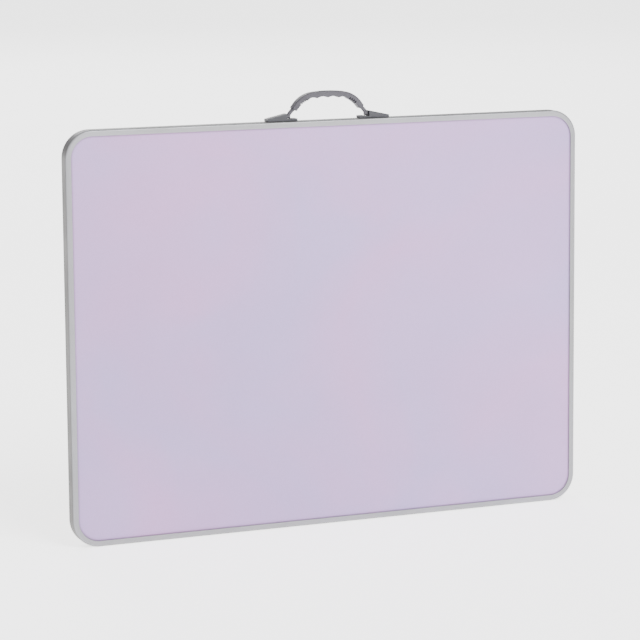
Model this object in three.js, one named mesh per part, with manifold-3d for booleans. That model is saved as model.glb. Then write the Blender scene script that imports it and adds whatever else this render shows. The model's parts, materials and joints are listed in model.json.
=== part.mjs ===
// A folding table with a carry handle, standing folded on one long edge.
//
// The top is a thin laminated board held in a bent aluminium rim. Two leg frames hinge on
// steel rails behind the board and lie nested inside the rim. Each leg telescopes and is held
// by a twist collar. A carry handle swings on the middle of the upper long edge.
//
// Millimetres. +X runs along the long edge, +Z points up, and the table surface faces -Y.
// Depths are measured backwards from the rim's front face. The whole group is then shifted so
// that the origin is the middle of the folded table's footprint.

import * as THREE from 'three';
import { mergeVertices } from 'three/addons/utils/BufferGeometryUtils.js';
import Module from 'manifold-3d';

const wasm = await Module();
wasm.setup();

// ---------------------------------------------------------------------------
// Driving dimensions
// ---------------------------------------------------------------------------

const GAP = 0.3; // clearance left between pieces that touch

// Top
const TOP_LENGTH = 600;
const TOP_WIDTH = 450;
const CORNER_RADIUS = 30;
const RIM_DEPTH = 17;
const RIM_WALL = 1.4;
const RIM_EDGE_RADIUS = 2.2;
const LIP_WIDTH = 6.4;
const LIP_THICKNESS = 1.2;
const RETURN_LIP_WIDTH = 4.5;
const LAMINATE_THICKNESS = 0.6;
const CORE_THICKNESS = 3;

// Leg frames
const PIVOT_INSET = 45; // from the short edge of the top to the hinge line
const LEG_AXIS_DEPTH = 17; // from the front face to the folded legs' axes
const LEFT_LEG_SPREAD = 200; // from the middle of the width to each left leg
const RIGHT_LEG_SPREAD = 172; // the right frame nests between the left legs
const OUTER_TUBE_RADIUS = 7;
const INNER_TUBE_RADIUS = 5.7;
const TUBE_WALL = 1;
const OUTER_TUBE_START = 9; // distances along a leg are measured from its pivot
const OUTER_TUBE_END = 258;
const INNER_TUBE_START = 40;
const INNER_TUBE_END = 289;
const COLLAR_RADIUS = 8.8;
const COLLAR_START = 246;
const COLLAR_END = 276;
const FOOT_START = 277;
const FOOT_END = 293;
const CROSSBAR_DISTANCE = 36;
const CROSSBAR_RADIUS = 5;

// Hinges
const RAIL_WIDTH = 30;
const RAIL_THICKNESS = 0.8;
const BRACKET_THICKNESS = 1.2;
const CHEEK_THICKNESS = 1.4;
const CHEEK_GAP = 14.6; // between the faces of a bracket's two cheeks
const KNUCKLE_RADIUS = 7;
const KNUCKLE_FLAT = 6.2; // from the pivot to the knuckle's two detent flats
const KNUCKLE_WIDTH = 13.8;
const PIVOT_PIN_RADIUS = 2.4;
const SPRING_THICKNESS = 0.4;

// Handle
const HANDLE_HALF_LENGTH = 71.7;
const BASE_INNER_END = 36.5;
const BASE_DEPTH = 10;
const BASE_TOE_HEIGHT = 3.4;
const BASE_PEAK_HEIGHT = 8.4;
const BASE_TONGUE_HEIGHT = 3;
const BASE_NOTCH_HEIGHT = 2.2; // where a neck's round root turns
const HANDLE_PIVOT_HEIGHT = 5.1;
const GRIP_TOP = 31.7;
const GRIP_DEPTH = 11;
const GRIP_THICKNESS = 7.4;
const GRIP_END_THICKNESS = 6;
const FINGER_PITCH = 13.3;
const FINGER_GROOVE = 1.4;

// ---------------------------------------------------------------------------
// Derived positions
// ---------------------------------------------------------------------------

const LAMINATE_FRONT = LIP_THICKNESS + GAP;
const CORE_FRONT = LAMINATE_FRONT + LAMINATE_THICKNESS + GAP;
const CORE_BACK = CORE_FRONT + CORE_THICKNESS;
const REAR_LIP_FRONT = CORE_BACK + GAP;
const REAR_LIP_BACK = REAR_LIP_FRONT + LIP_THICKNESS;
const RAIL_FRONT = REAR_LIP_BACK + GAP;
const RAIL_BACK = RAIL_FRONT + RAIL_THICKNESS;
const BRACKET_FRONT = RAIL_BACK + GAP;
const BRACKET_BACK = BRACKET_FRONT + BRACKET_THICKNESS;
const TOTAL_DEPTH = LEG_AXIS_DEPTH + COLLAR_RADIUS;
const PIVOT_X = TOP_LENGTH / 2 - PIVOT_INSET;
const OUTER_TUBE_BORE = OUTER_TUBE_RADIUS - TUBE_WALL;
const QUARTER_TURN = Math.PI / 2;

// Sides of the round pieces
const HOLE_SIDES = 12;
const PIN_SIDES = 16;
const TUBE_SIDES = 20;

// ---------------------------------------------------------------------------
// Materials
// ---------------------------------------------------------------------------

const FINISHES = {
  laminate: { color: 0xcbc3d3, roughness: 0.5, metalness: 0 },
  board: { color: 0xa98c68, roughness: 0.85, metalness: 0 },
  rim: { color: 0xc6c6c8, roughness: 0.42, metalness: 0.85 },
  tube: { color: 0xc9cacc, roughness: 0.35, metalness: 0.9 },
  steel: { color: 0xb4b6ba, roughness: 0.4, metalness: 1 },
  plastic: { color: 0x8a888f, roughness: 0.55, metalness: 0 },
  darkPlastic: { color: 0x707076, roughness: 0.6, metalness: 0 },
  rubber: { color: 0x2b2b2d, roughness: 0.9, metalness: 0 },
};

function piece(name, geometry, finish) {
  const mesh = new THREE.Mesh(geometry, new THREE.MeshStandardMaterial(FINISHES[finish]));
  mesh.name = name;
  return mesh;
}

// ---------------------------------------------------------------------------
// Solids
// ---------------------------------------------------------------------------

function toSolid(geometry) {
  const bare = geometry.clone();
  bare.deleteAttribute('normal');
  bare.deleteAttribute('uv');
  const welded = mergeVertices(bare);
  const mesh = new wasm.Mesh({
    numProp: 3,
    vertProperties: new Float32Array(welded.attributes.position.array),
    triVerts: new Uint32Array(welded.index.array),
  });
  return new wasm.Manifold(mesh);
}

function toGeometry(solid) {
  const mesh = solid.getMesh();
  const geometry = new THREE.BufferGeometry();
  geometry.setAttribute('position', new THREE.BufferAttribute(mesh.vertProperties, 3));
  geometry.setIndex(new THREE.BufferAttribute(mesh.triVerts, 1));
  geometry.computeVertexNormals();
  return geometry;
}

function joined(geometries) {
  const solids = geometries.map(toSolid);
  return solids.reduce((whole, solid) => whole.add(solid));
}

function cut(solid, geometries) {
  return geometries.reduce((rest, geometry) => rest.subtract(toSolid(geometry)), solid);
}

// A box between two corners.
function block(low, high) {
  const size = high.map((value, axis) => value - low[axis]);
  const geometry = new THREE.BoxGeometry(...size);
  geometry.translate(low[0] + size[0] / 2, low[1] + size[1] / 2, low[2] + size[2] / 2);
  return geometry;
}

// A round bar along Z, centred on x and y.
function barAlongZ(radius, low, high, x, y, sides = PIN_SIDES) {
  const geometry = new THREE.CylinderGeometry(radius, radius, high - low, sides);
  geometry.rotateX(QUARTER_TURN);
  geometry.translate(x, y, (low + high) / 2);
  return geometry;
}

// A round bar along Y, centred on x and z.
function barAlongY(radius, low, high, x, z, sides = HOLE_SIDES) {
  const geometry = new THREE.CylinderGeometry(radius, radius, high - low, sides);
  geometry.translate(x, (low + high) / 2, z);
  return geometry;
}

// A round bar along X, centred on y and z.
function barAlongX(radius, low, high, y, z, sides = PIN_SIDES) {
  const geometry = new THREE.CylinderGeometry(radius, radius, high - low, sides);
  geometry.rotateZ(QUARTER_TURN);
  geometry.translate((low + high) / 2, y, z);
  return geometry;
}

// An outline drawn in X and Z, given depth from yLow to yHigh, with its edges rounded off.
function slab(shape, yLow, yHigh, edge = 0, edgeSegments = 2) {
  const geometry = new THREE.ExtrudeGeometry(shape, {
    depth: yHigh - yLow - 2 * edge,
    bevelEnabled: edge > 0,
    bevelThickness: edge,
    bevelSize: edge,
    bevelOffset: -edge,
    bevelSegments: edgeSegments,
    curveSegments: 4,
  });
  geometry.rotateX(QUARTER_TURN);
  geometry.translate(0, yHigh - edge, 0);
  return geometry;
}

// An outline drawn in X and Y, given thickness from zLow to zHigh.
function plateInXY(shape, zLow, zHigh) {
  const geometry = new THREE.ExtrudeGeometry(shape, {
    depth: zHigh - zLow,
    bevelEnabled: false,
    curveSegments: 4,
  });
  geometry.translate(0, 0, zLow);
  return geometry;
}

// A turned piece about the X axis. The profile lists [distance along X, radius] pairs.
function turnedAboutX(profile, sides) {
  const points = profile.map(([along, radius]) => new THREE.Vector2(radius, along));
  const geometry = new THREE.LatheGeometry(points, sides);
  geometry.rotateZ(-QUARTER_TURN);
  return geometry;
}

function polygon(points) {
  return new THREE.Shape(points.map(([x, y]) => new THREE.Vector2(x, y)));
}

// ---------------------------------------------------------------------------
// Top: rim, laminate and core board
// ---------------------------------------------------------------------------

// The top's outline, drawn smaller by the given inset.
function topOutline(inset) {
  const right = TOP_LENGTH / 2 - inset;
  const left = -right;
  const low = inset;
  const high = TOP_WIDTH - inset;
  const radius = CORNER_RADIUS - inset;
  const shape = new THREE.Shape();
  shape.moveTo(left + radius, low);
  shape.lineTo(right - radius, low);
  shape.absarc(right - radius, low + radius, radius, -QUARTER_TURN, 0, false);
  shape.lineTo(right, high - radius);
  shape.absarc(right - radius, high - radius, radius, 0, QUARTER_TURN, false);
  shape.lineTo(left + radius, high);
  shape.absarc(left + radius, high - radius, radius, QUARTER_TURN, Math.PI, false);
  shape.lineTo(left, low + radius);
  shape.absarc(left + radius, low + radius, radius, Math.PI, 3 * QUARTER_TURN, false);
  return shape;
}

const BASE_SCREW_POSITIONS = [57.5, 66]; // along X from the middle of the handle
const BASE_SCREW_DEPTH = 10.6; // from the front face
const BASE_SCREW_RADIUS = 1.5;
const RAIL_RIVET_RADIUS = 1.2;
const RAIL_RIVET_HEAD = { radius: 2.2, height: 1 };
const REAR_LIP_MIDDLE = 4; // from the top's outside edge to the middle of the rear lip
const RAIL_RIVET_SPREAD = TOP_WIDTH / 2 - REAR_LIP_MIDDLE;
const PAST = 1; // how far a cutter runs past the face it opens

function makeRim() {
  const body = toSolid(slab(topOutline(0), 0, RIM_DEPTH, RIM_EDGE_RADIUS, 3));
  const cutters = [
    slab(topOutline(LIP_WIDTH), -PAST, RIM_DEPTH + PAST),
    slab(topOutline(RIM_WALL), LIP_THICKNESS, REAR_LIP_FRONT),
    slab(topOutline(RIM_WALL), REAR_LIP_BACK, RIM_DEPTH - LIP_THICKNESS),
    slab(topOutline(RETURN_LIP_WIDTH), RIM_DEPTH - LIP_THICKNESS - PAST, RIM_DEPTH + PAST),
  ];
  for (const side of [-1, 1]) {
    for (const x of BASE_SCREW_POSITIONS) {
      const low = TOP_WIDTH - RIM_WALL - PAST;
      const high = TOP_WIDTH + PAST;
      cutters.push(barAlongZ(BASE_SCREW_RADIUS + GAP, low, high, side * x, BASE_SCREW_DEPTH, HOLE_SIDES));
    }
    for (const end of [-1, 1]) {
      const z = TOP_WIDTH / 2 + end * RAIL_RIVET_SPREAD;
      const low = REAR_LIP_FRONT - PAST;
      const high = REAR_LIP_BACK + PAST;
      cutters.push(barAlongY(RAIL_RIVET_RADIUS + GAP, low, high, side * PIVOT_X, z));
    }
  }
  return piece('edge_rim', toGeometry(cut(body, cutters)), 'rim');
}

function makeTop() {
  const edgeInset = RIM_WALL + GAP;
  const outline = topOutline(edgeInset);
  const laminate = slab(outline, LAMINATE_FRONT, LAMINATE_FRONT + LAMINATE_THICKNESS);
  const core = slab(outline, CORE_FRONT, CORE_BACK);
  const top = new THREE.Group();
  top.add(makeRim());
  top.add(piece('surface_laminate', laminate, 'laminate'));
  top.add(piece('core_board', core, 'board'));
  return top;
}

// ---------------------------------------------------------------------------
// Hinge rails, brackets, detent springs and pivot pins
//
// A leg frame and its hinge parts are built about the hinge line: x = 0 and y = 0 on the
// line, z = 0 at the middle of the top's width, and the folded legs along +X.
// ---------------------------------------------------------------------------

const HINGE = {
  railFront: RAIL_FRONT - LEG_AXIS_DEPTH,
  railBack: RAIL_BACK - LEG_AXIS_DEPTH,
  bracketFront: BRACKET_FRONT - LEG_AXIS_DEPTH,
  bracketBack: BRACKET_BACK - LEG_AXIS_DEPTH,
};
const BRACKET_RIVET_OFFSET = 12; // from the leg's axis to each bracket rivet
const BRACKET_RIVET_RADIUS = 1.6;
const BRACKET_RIVET_HEAD = { radius: 3, height: 1.3 };
const BRACKET_HALF_LENGTH = 15;
const BRACKET_BACK_END = -13;
const BRACKET_FRONT_END = 13;
const STOP_WALL_FACE = -7.5;
const CHEEK_FRONT_END = 10;
const CHEEK_TOP = 6;
const PIN_HEAD_RADIUS = 4;
const PIN_HEAD_THICKNESS = 1.5;

// A rivet along Y: a low domed head on the back and a plain shank in front of it.
function makeRivet(name, z, headBase, tip, shankRadius, head) {
  const crownRadius = 0.55 * head.radius;
  const shoulder = [0.45 * head.height, 0.88 * head.radius];
  const length = head.height + headBase - tip;
  const profile = [
    [0, 0],
    [0, crownRadius],
    shoulder,
    [head.height, head.radius],
    [head.height, shankRadius],
    [length, shankRadius],
    [length, 0],
  ];
  const geometry = turnedAboutX(profile, HOLE_SIDES);
  geometry.rotateZ(-QUARTER_TURN);
  geometry.translate(0, headBase + head.height, z);
  return piece(name, geometry, 'steel');
}

function makeRail(name, spread) {
  const endClearance = 1;
  const halfLength = TOP_WIDTH / 2 - RIM_WALL - endClearance;
  const low = [-RAIL_WIDTH / 2, HINGE.railFront, -halfLength];
  const high = [RAIL_WIDTH / 2, HINGE.railBack, halfLength];
  const cutters = [];
  for (const end of [-1, 1]) {
    const lipZ = end * RAIL_RIVET_SPREAD;
    const back = HINGE.railBack + PAST;
    const front = HINGE.railFront - PAST;
    cutters.push(barAlongY(RAIL_RIVET_RADIUS + GAP, front, back, 0, lipZ));
    for (const offset of [-BRACKET_RIVET_OFFSET, BRACKET_RIVET_OFFSET]) {
      const z = end * spread + offset;
      cutters.push(barAlongY(BRACKET_RIVET_RADIUS + GAP, front, back, 0, z));
    }
  }
  return piece(name, toGeometry(cut(toSolid(block(low, high)), cutters)), 'steel');
}

// One side wall of a bracket, rounded over the pivot pin.
function cheekOutline() {
  const shape = new THREE.Shape();
  shape.moveTo(STOP_WALL_FACE - BRACKET_THICKNESS, HINGE.bracketFront);
  shape.lineTo(CHEEK_FRONT_END, HINGE.bracketFront);
  shape.lineTo(CHEEK_TOP, 0);
  shape.absarc(0, 0, CHEEK_TOP, 0, QUARTER_TURN, false);
  shape.lineTo(STOP_WALL_FACE - BRACKET_THICKNESS, CHEEK_TOP);
  return shape;
}

function makeBracket(name, z) {
  const inner = CHEEK_GAP / 2;
  const outer = inner + CHEEK_THICKNESS;
  const plate = block(
    [BRACKET_BACK_END, HINGE.bracketFront, z - BRACKET_HALF_LENGTH],
    [BRACKET_FRONT_END, HINGE.bracketBack, z + BRACKET_HALF_LENGTH],
  );
  const stopWall = block(
    [STOP_WALL_FACE - BRACKET_THICKNESS, HINGE.bracketFront, z - outer],
    [STOP_WALL_FACE, CHEEK_TOP, z + outer],
  );
  const cheeks = [
    plateInXY(cheekOutline(), z - outer, z - inner),
    plateInXY(cheekOutline(), z + inner, z + outer),
  ];
  const pinHole = barAlongZ(PIVOT_PIN_RADIUS + GAP, z - outer - PAST, z + outer + PAST, 0, 0);
  const rivetHoles = [-BRACKET_RIVET_OFFSET, BRACKET_RIVET_OFFSET].map((offset) =>
    barAlongY(
      BRACKET_RIVET_RADIUS + GAP,
      HINGE.bracketFront - PAST,
      HINGE.bracketBack + PAST,
      0,
      z + offset,
    ),
  );
  const body = cut(joined([plate, stopWall, ...cheeks]), [pinHole, ...rivetHoles]);
  return piece(name, toGeometry(body), 'steel');
}

// A bowed strip that presses on the knuckle's flats and holds the frame folded or open.
function makeDetentSpring(name, z) {
  const seat = HINGE.bracketBack + GAP;
  const crown = -KNUCKLE_FLAT - GAP;
  const halfWidth = 5;
  const footEnd = 6.6;
  const crownEnd = 3.2;
  const tab = 1;
  const shape = polygon([
    [-footEnd, seat],
    [-footEnd + tab, seat],
    [-crownEnd, crown - SPRING_THICKNESS],
    [crownEnd, crown - SPRING_THICKNESS],
    [footEnd - tab, seat],
    [footEnd, seat],
    [footEnd, seat + SPRING_THICKNESS],
    [crownEnd, crown],
    [-crownEnd, crown],
    [-footEnd, seat + SPRING_THICKNESS],
  ]);
  return piece(name, plateInXY(shape, z - halfWidth, z + halfWidth), 'steel');
}

function makePivotPin(name, z) {
  const shankEnd = CHEEK_GAP / 2 + CHEEK_THICKNESS + GAP;
  const headEnd = shankEnd + PIN_HEAD_THICKNESS;
  const headFace = 0.75 * PIN_HEAD_RADIUS;
  const profile = [
    [-headEnd, 0],
    [-headEnd, headFace],
    [-shankEnd, PIN_HEAD_RADIUS],
    [-shankEnd, PIVOT_PIN_RADIUS],
    [shankEnd, PIVOT_PIN_RADIUS],
    [shankEnd, PIN_HEAD_RADIUS],
    [headEnd, headFace],
    [headEnd, 0],
  ];
  const geometry = turnedAboutX(profile, PIN_SIDES);
  geometry.rotateY(-QUARTER_TURN);
  geometry.translate(0, 0, z);
  return piece(name, geometry, 'steel');
}

// ---------------------------------------------------------------------------
// Leg frames
// ---------------------------------------------------------------------------

const KNUCKLE_SPIGOT_END = 24;
const KNUCKLE_SHOULDER = OUTER_TUBE_START - GAP;

// The knuckle is round about the pin, with a flat below it and one behind it.
function knuckleOutline() {
  const flatAngle = Math.acos(KNUCKLE_FLAT / KNUCKLE_RADIUS);
  const shape = new THREE.Shape();
  shape.moveTo(KNUCKLE_SHOULDER, -KNUCKLE_FLAT);
  shape.lineTo(KNUCKLE_SHOULDER, KNUCKLE_FLAT);
  shape.absarc(0, 0, KNUCKLE_RADIUS, QUARTER_TURN - flatAngle, Math.PI - flatAngle, false);
  shape.absarc(0, 0, KNUCKLE_RADIUS, Math.PI + flatAngle, 3 * QUARTER_TURN - flatAngle, false);
  return shape;
}

function makeKnuckle(name, z) {
  const half = KNUCKLE_WIDTH / 2;
  const head = plateInXY(knuckleOutline(), z - half, z + half);
  const spigotRadius = OUTER_TUBE_BORE - GAP;
  const spigot = barAlongX(spigotRadius, KNUCKLE_SHOULDER - PAST, KNUCKLE_SPIGOT_END, 0, z, TUBE_SIDES);
  const pinHole = barAlongZ(PIVOT_PIN_RADIUS + GAP, z - half - PAST, z + half + PAST, 0, 0);
  return piece(name, toGeometry(cut(joined([head, spigot]), [pinHole])), 'darkPlastic');
}

function makeTube(name, z, start, end, radius, finish) {
  const bore = radius - TUBE_WALL;
  const profile = [
    [start, bore],
    [start, radius],
    [end, radius],
    [end, bore],
    [start, bore],
  ];
  const geometry = turnedAboutX(profile, TUBE_SIDES);
  geometry.translate(0, 0, z);
  return piece(name, geometry, finish);
}

// The bar between a frame's two legs, its ends hollowed to fit round the leg tubes.
function makeCrossbar(name, spread) {
  const bore = CROSSBAR_RADIUS - TUBE_WALL;
  const reach = spread - OUTER_TUBE_RADIUS / 2;
  const outside = barAlongZ(CROSSBAR_RADIUS, -reach, reach, CROSSBAR_DISTANCE, 0);
  const hollow = barAlongZ(bore, -reach - PAST, reach + PAST, CROSSBAR_DISTANCE, 0);
  const saddleEnds = [CROSSBAR_DISTANCE - 3 * CROSSBAR_RADIUS, CROSSBAR_DISTANCE + 3 * CROSSBAR_RADIUS];
  const saddles = [-spread, spread].map((z) =>
    barAlongX(OUTER_TUBE_RADIUS + GAP, ...saddleEnds, 0, z, TUBE_SIDES),
  );
  return piece(name, toGeometry(cut(toSolid(outside), [hollow, ...saddles])), 'tube');
}

// The twist collar grips the inner tube and rides on the end of the outer tube.
function makeCollar(name, z) {
  const wideBore = OUTER_TUBE_RADIUS + GAP;
  const narrowBore = INNER_TUBE_RADIUS + GAP;
  const shoulder = OUTER_TUBE_END + GAP;
  const chamfer = 1.2;
  const waist = COLLAR_RADIUS - 0.5;
  const skirtLength = 6;
  const noseLength = 8;
  const profile = [
    [COLLAR_START, wideBore],
    [COLLAR_START, COLLAR_RADIUS - chamfer],
    [COLLAR_START + skirtLength / 3, waist],
    [COLLAR_START + skirtLength, COLLAR_RADIUS],
    [COLLAR_END - noseLength, COLLAR_RADIUS],
    [COLLAR_END, COLLAR_RADIUS - 2 * chamfer],
    [COLLAR_END, narrowBore],
    [shoulder, narrowBore],
    [shoulder, wideBore],
    [COLLAR_START, wideBore],
  ];
  const geometry = turnedAboutX(profile, TUBE_SIDES);
  geometry.translate(0, 0, z);
  return piece(name, geometry, 'plastic');
}

function makeFoot(name, z) {
  const bore = INNER_TUBE_RADIUS + GAP;
  const floor = INNER_TUBE_END + GAP;
  const sleeveLength = 9;
  const soleThickness = 3.5;
  const soleEdge = 0.8;
  const profile = [
    [floor, 0],
    [floor, bore],
    [FOOT_START, bore],
    [FOOT_START, COLLAR_RADIUS - 1],
    [FOOT_START + sleeveLength, COLLAR_RADIUS - 0.6],
    [FOOT_END - soleThickness, COLLAR_RADIUS],
    [FOOT_END - soleEdge, COLLAR_RADIUS],
    [FOOT_END, COLLAR_RADIUS - soleEdge],
    [FOOT_END, 0],
  ];
  const geometry = turnedAboutX(profile, TUBE_SIDES);
  geometry.translate(0, 0, z);
  return piece(name, geometry, 'rubber');
}

// One leg frame with its rail and hinges. A half turn about Y puts the right-hand frame's
// legs along -X, and swaps which end of its width is upper.
function makeLegAssembly(side, spread) {
  const isRight = side === 'right';
  const assembly = new THREE.Group();
  assembly.position.set(isRight ? PIVOT_X : -PIVOT_X, LEG_AXIS_DEPTH, TOP_WIDTH / 2);
  assembly.rotation.y = isRight ? Math.PI : 0;
  assembly.add(makeRail(`${side}_hinge_rail`, spread));
  assembly.add(makeCrossbar(`${side}_leg_crossbar`, spread));
  for (const end of [-1, 1]) {
    const z = end * spread;
    const isUpper = isRight ? end < 0 : end > 0;
    const prefix = `${side}_${isUpper ? 'upper' : 'lower'}`;
    assembly.add(
      makeRivet(
        `${prefix}_rail_rivet`,
        end * RAIL_RIVET_SPREAD,
        HINGE.railBack + GAP,
        REAR_LIP_FRONT - LEG_AXIS_DEPTH,
        RAIL_RIVET_RADIUS,
        RAIL_RIVET_HEAD,
      ),
    );
    for (const offset of [-BRACKET_RIVET_OFFSET, BRACKET_RIVET_OFFSET]) {
      const isOuter = offset * end > 0;
      assembly.add(
        makeRivet(
          `${prefix}_${isOuter ? 'outer' : 'inner'}_bracket_rivet`,
          z + offset,
          HINGE.bracketBack + GAP,
          HINGE.railFront,
          BRACKET_RIVET_RADIUS,
          BRACKET_RIVET_HEAD,
        ),
      );
    }
    assembly.add(makeBracket(`${prefix}_hinge_bracket`, z));
    assembly.add(makeDetentSpring(`${prefix}_detent_spring`, z));
    assembly.add(makePivotPin(`${prefix}_pivot_pin`, z));
    assembly.add(makeKnuckle(`${prefix}_leg_knuckle`, z));
    assembly.add(
      makeTube(`${prefix}_outer_tube`, z, OUTER_TUBE_START, OUTER_TUBE_END, OUTER_TUBE_RADIUS, 'tube'),
    );
    assembly.add(
      makeTube(`${prefix}_inner_tube`, z, INNER_TUBE_START, INNER_TUBE_END, INNER_TUBE_RADIUS, 'tube'),
    );
    assembly.add(makeCollar(`${prefix}_twist_collar`, z));
    assembly.add(makeFoot(`${prefix}_foot`, z));
  }
  return assembly;
}

// ---------------------------------------------------------------------------
// Carry handle
//
// Built about the middle of the rim's upper edge: z = 0 on the rim and y = 0 at mid-depth.
// ---------------------------------------------------------------------------

const WEDGE_FACE = 48; // the face where a wedge takes the neck's spigot
const WEDGE_BORE_END = 53.2;
const BASE_PEAK_WIDTH = 1.2;
const NECK_SPIGOT_END = 52.7;
const NECK_SPIGOT_RADIUS = 1.5;
const NECK_INNER = 43.7;
const NECK_OUTER = WEDGE_FACE - GAP;
const NECK_DEPTH = 4;
const NECK_ROOT_RADIUS = 2.3;
const NECK_HALF_THICKNESS = 1.8;
const BASE_SCREW_HOLE_TOP = 3.1;
const BASE_EDGE = 0.4;
const GRIP_EDGE = 1.4;
const NECK_EDGE = 0.4;

function makeHandleBase(name, side) {
  const outline = polygon([
    [side * BASE_INNER_END, GAP],
    [side * HANDLE_HALF_LENGTH, GAP],
    [side * HANDLE_HALF_LENGTH, BASE_TOE_HEIGHT],
    [side * (WEDGE_FACE + BASE_PEAK_WIDTH), BASE_PEAK_HEIGHT],
    [side * WEDGE_FACE, BASE_PEAK_HEIGHT],
    [side * WEDGE_FACE, BASE_NOTCH_HEIGHT],
    [side * (NECK_INNER - GAP), BASE_NOTCH_HEIGHT],
    [side * (NECK_INNER - GAP), BASE_TONGUE_HEIGHT],
    [side * BASE_INNER_END, BASE_TONGUE_HEIGHT],
  ]);
  const body = toSolid(slab(outline, -BASE_DEPTH / 2, BASE_DEPTH / 2, BASE_EDGE, 1));
  const bounds = [side * (WEDGE_FACE - PAST), side * WEDGE_BORE_END];
  const bore = barAlongX(
    NECK_SPIGOT_RADIUS + GAP,
    Math.min(...bounds),
    Math.max(...bounds),
    0,
    HANDLE_PIVOT_HEIGHT,
  );
  const y = BASE_SCREW_DEPTH - RIM_DEPTH / 2;
  const screwHoles = BASE_SCREW_POSITIONS.map((x) =>
    barAlongZ(BASE_SCREW_RADIUS + GAP, -PAST, BASE_SCREW_HOLE_TOP, side * x, y, HOLE_SIDES),
  );
  return piece(name, toGeometry(cut(body, [bore, ...screwHoles])), 'darkPlastic');
}

// A screw from inside the rim, up through its wall into the base.
function makeBaseScrew(name, x) {
  const headTop = -RIM_WALL - GAP;
  const headHeight = 1.8;
  const headRadius = 2.8;
  const crownRadius = 2.2;
  const tip = BASE_SCREW_HOLE_TOP - GAP;
  const profile = [
    [headTop - headHeight, 0],
    [headTop - headHeight, crownRadius],
    [headTop - 0.6 * headHeight, headRadius],
    [headTop, headRadius],
    [headTop, BASE_SCREW_RADIUS],
    [tip, BASE_SCREW_RADIUS],
    [tip, 0],
  ];
  const geometry = turnedAboutX(profile, HOLE_SIDES);
  geometry.rotateY(-QUARTER_TURN);
  geometry.translate(x, BASE_SCREW_DEPTH - RIM_DEPTH / 2, 0);
  return piece(name, geometry, 'steel');
}

// The top line of the grip: a shallow arc, a tighter shoulder arc, then a straight arm.
const CROWN_RADIUS = 150.7;
const CROWN_HALF_WIDTH = 18;
const SHOULDER_RADIUS = 30.7;
const ARM_ANGLE = 0.92; // the arm's slope below the level, in radians
const ARM_LENGTH = 5.4;
const CROWN_ANGLE = Math.asin(CROWN_HALF_WIDTH / CROWN_RADIUS);
const CROWN_LENGTH = CROWN_RADIUS * CROWN_ANGLE;
const SHOULDER_LENGTH = SHOULDER_RADIUS * (ARM_ANGLE - CROWN_ANGLE);
const ARCH_HALF_LENGTH = CROWN_LENGTH + SHOULDER_LENGTH + ARM_LENGTH;

// The point at a signed distance along the top line, moved inwards by the given depth.
function archPoint(distance, depth) {
  const along = Math.abs(distance);
  const side = Math.sign(distance);
  const past = along - CROWN_LENGTH;
  const onCrown = past <= 0;
  const turn = onCrown
    ? along / CROWN_RADIUS
    : Math.min(CROWN_ANGLE + past / SHOULDER_RADIUS, ARM_ANGLE);
  const crownCentre = GRIP_TOP - CROWN_RADIUS;
  const shift = CROWN_RADIUS - SHOULDER_RADIUS;
  const radius = onCrown ? CROWN_RADIUS : SHOULDER_RADIUS;
  const centreX = onCrown ? 0 : shift * Math.sin(CROWN_ANGLE);
  const centreZ = onCrown ? crownCentre : crownCentre + shift * Math.cos(CROWN_ANGLE);
  const straight = Math.max(0, past - SHOULDER_LENGTH);
  const x = centreX + (radius - depth) * Math.sin(turn) + straight * Math.cos(turn);
  const z = centreZ + (radius - depth) * Math.cos(turn) - straight * Math.sin(turn);
  return new THREE.Vector2(side * x, z);
}

// The underside is scalloped for four fingers, and thins towards the ends.
function gripThickness(distance) {
  const fingered = Math.abs(distance) < 2 * FINGER_PITCH;
  const scallop = fingered ? Math.abs(Math.sin((Math.PI * distance) / FINGER_PITCH)) : 0;
  const reach = Math.abs(distance) / ARCH_HALF_LENGTH;
  const base = GRIP_THICKNESS + (GRIP_END_THICKNESS - GRIP_THICKNESS) * reach * reach;
  return base - FINGER_GROOVE * scallop;
}

function gripOutline() {
  const topSteps = 26;
  const underSteps = 44;
  const points = [];
  for (let step = 0; step <= topSteps; step += 1) {
    const distance = ARCH_HALF_LENGTH * ((2 * step) / topSteps - 1);
    points.push(archPoint(distance, 0));
  }
  for (let step = underSteps; step >= 0; step -= 1) {
    const distance = ARCH_HALF_LENGTH * ((2 * step) / underSteps - 1);
    points.push(archPoint(distance, gripThickness(distance)));
  }
  return new THREE.Shape(points);
}

function makeNeck(side) {
  const overlap = 1.5; // how far the neck runs into the arm
  const armEnd = archPoint(side * (ARCH_HALF_LENGTH - overlap), GRIP_END_THICKNESS / 2);
  const rootX = side * ((NECK_INNER + NECK_OUTER) / 2);
  const root = new THREE.Vector2(rootX, HANDLE_PIVOT_HEIGHT + NECK_ROOT_RADIUS);
  const along = armEnd.clone().sub(root).normalize();
  const across = new THREE.Vector2(along.y, -along.x).multiplyScalar(side * NECK_HALF_THICKNESS);
  const outline = new THREE.Shape([
    new THREE.Vector2(side * NECK_INNER, HANDLE_PIVOT_HEIGHT),
    new THREE.Vector2(side * NECK_OUTER, HANDLE_PIVOT_HEIGHT),
    new THREE.Vector2(side * NECK_OUTER, root.y),
    armEnd.clone().add(across),
    armEnd.clone().sub(across),
    new THREE.Vector2(side * NECK_INNER, root.y - 1),
  ]);
  const ends = [side * NECK_INNER, side * NECK_OUTER];
  const spigotEnds = [side * (NECK_INNER + 1), side * NECK_SPIGOT_END];
  return [
    slab(outline, -NECK_DEPTH / 2, NECK_DEPTH / 2, NECK_EDGE, 1),
    barAlongX(NECK_ROOT_RADIUS, Math.min(...ends), Math.max(...ends), 0, HANDLE_PIVOT_HEIGHT),
    barAlongX(
      NECK_SPIGOT_RADIUS,
      Math.min(...spigotEnds),
      Math.max(...spigotEnds),
      0,
      HANDLE_PIVOT_HEIGHT,
    ),
  ];
}

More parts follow.
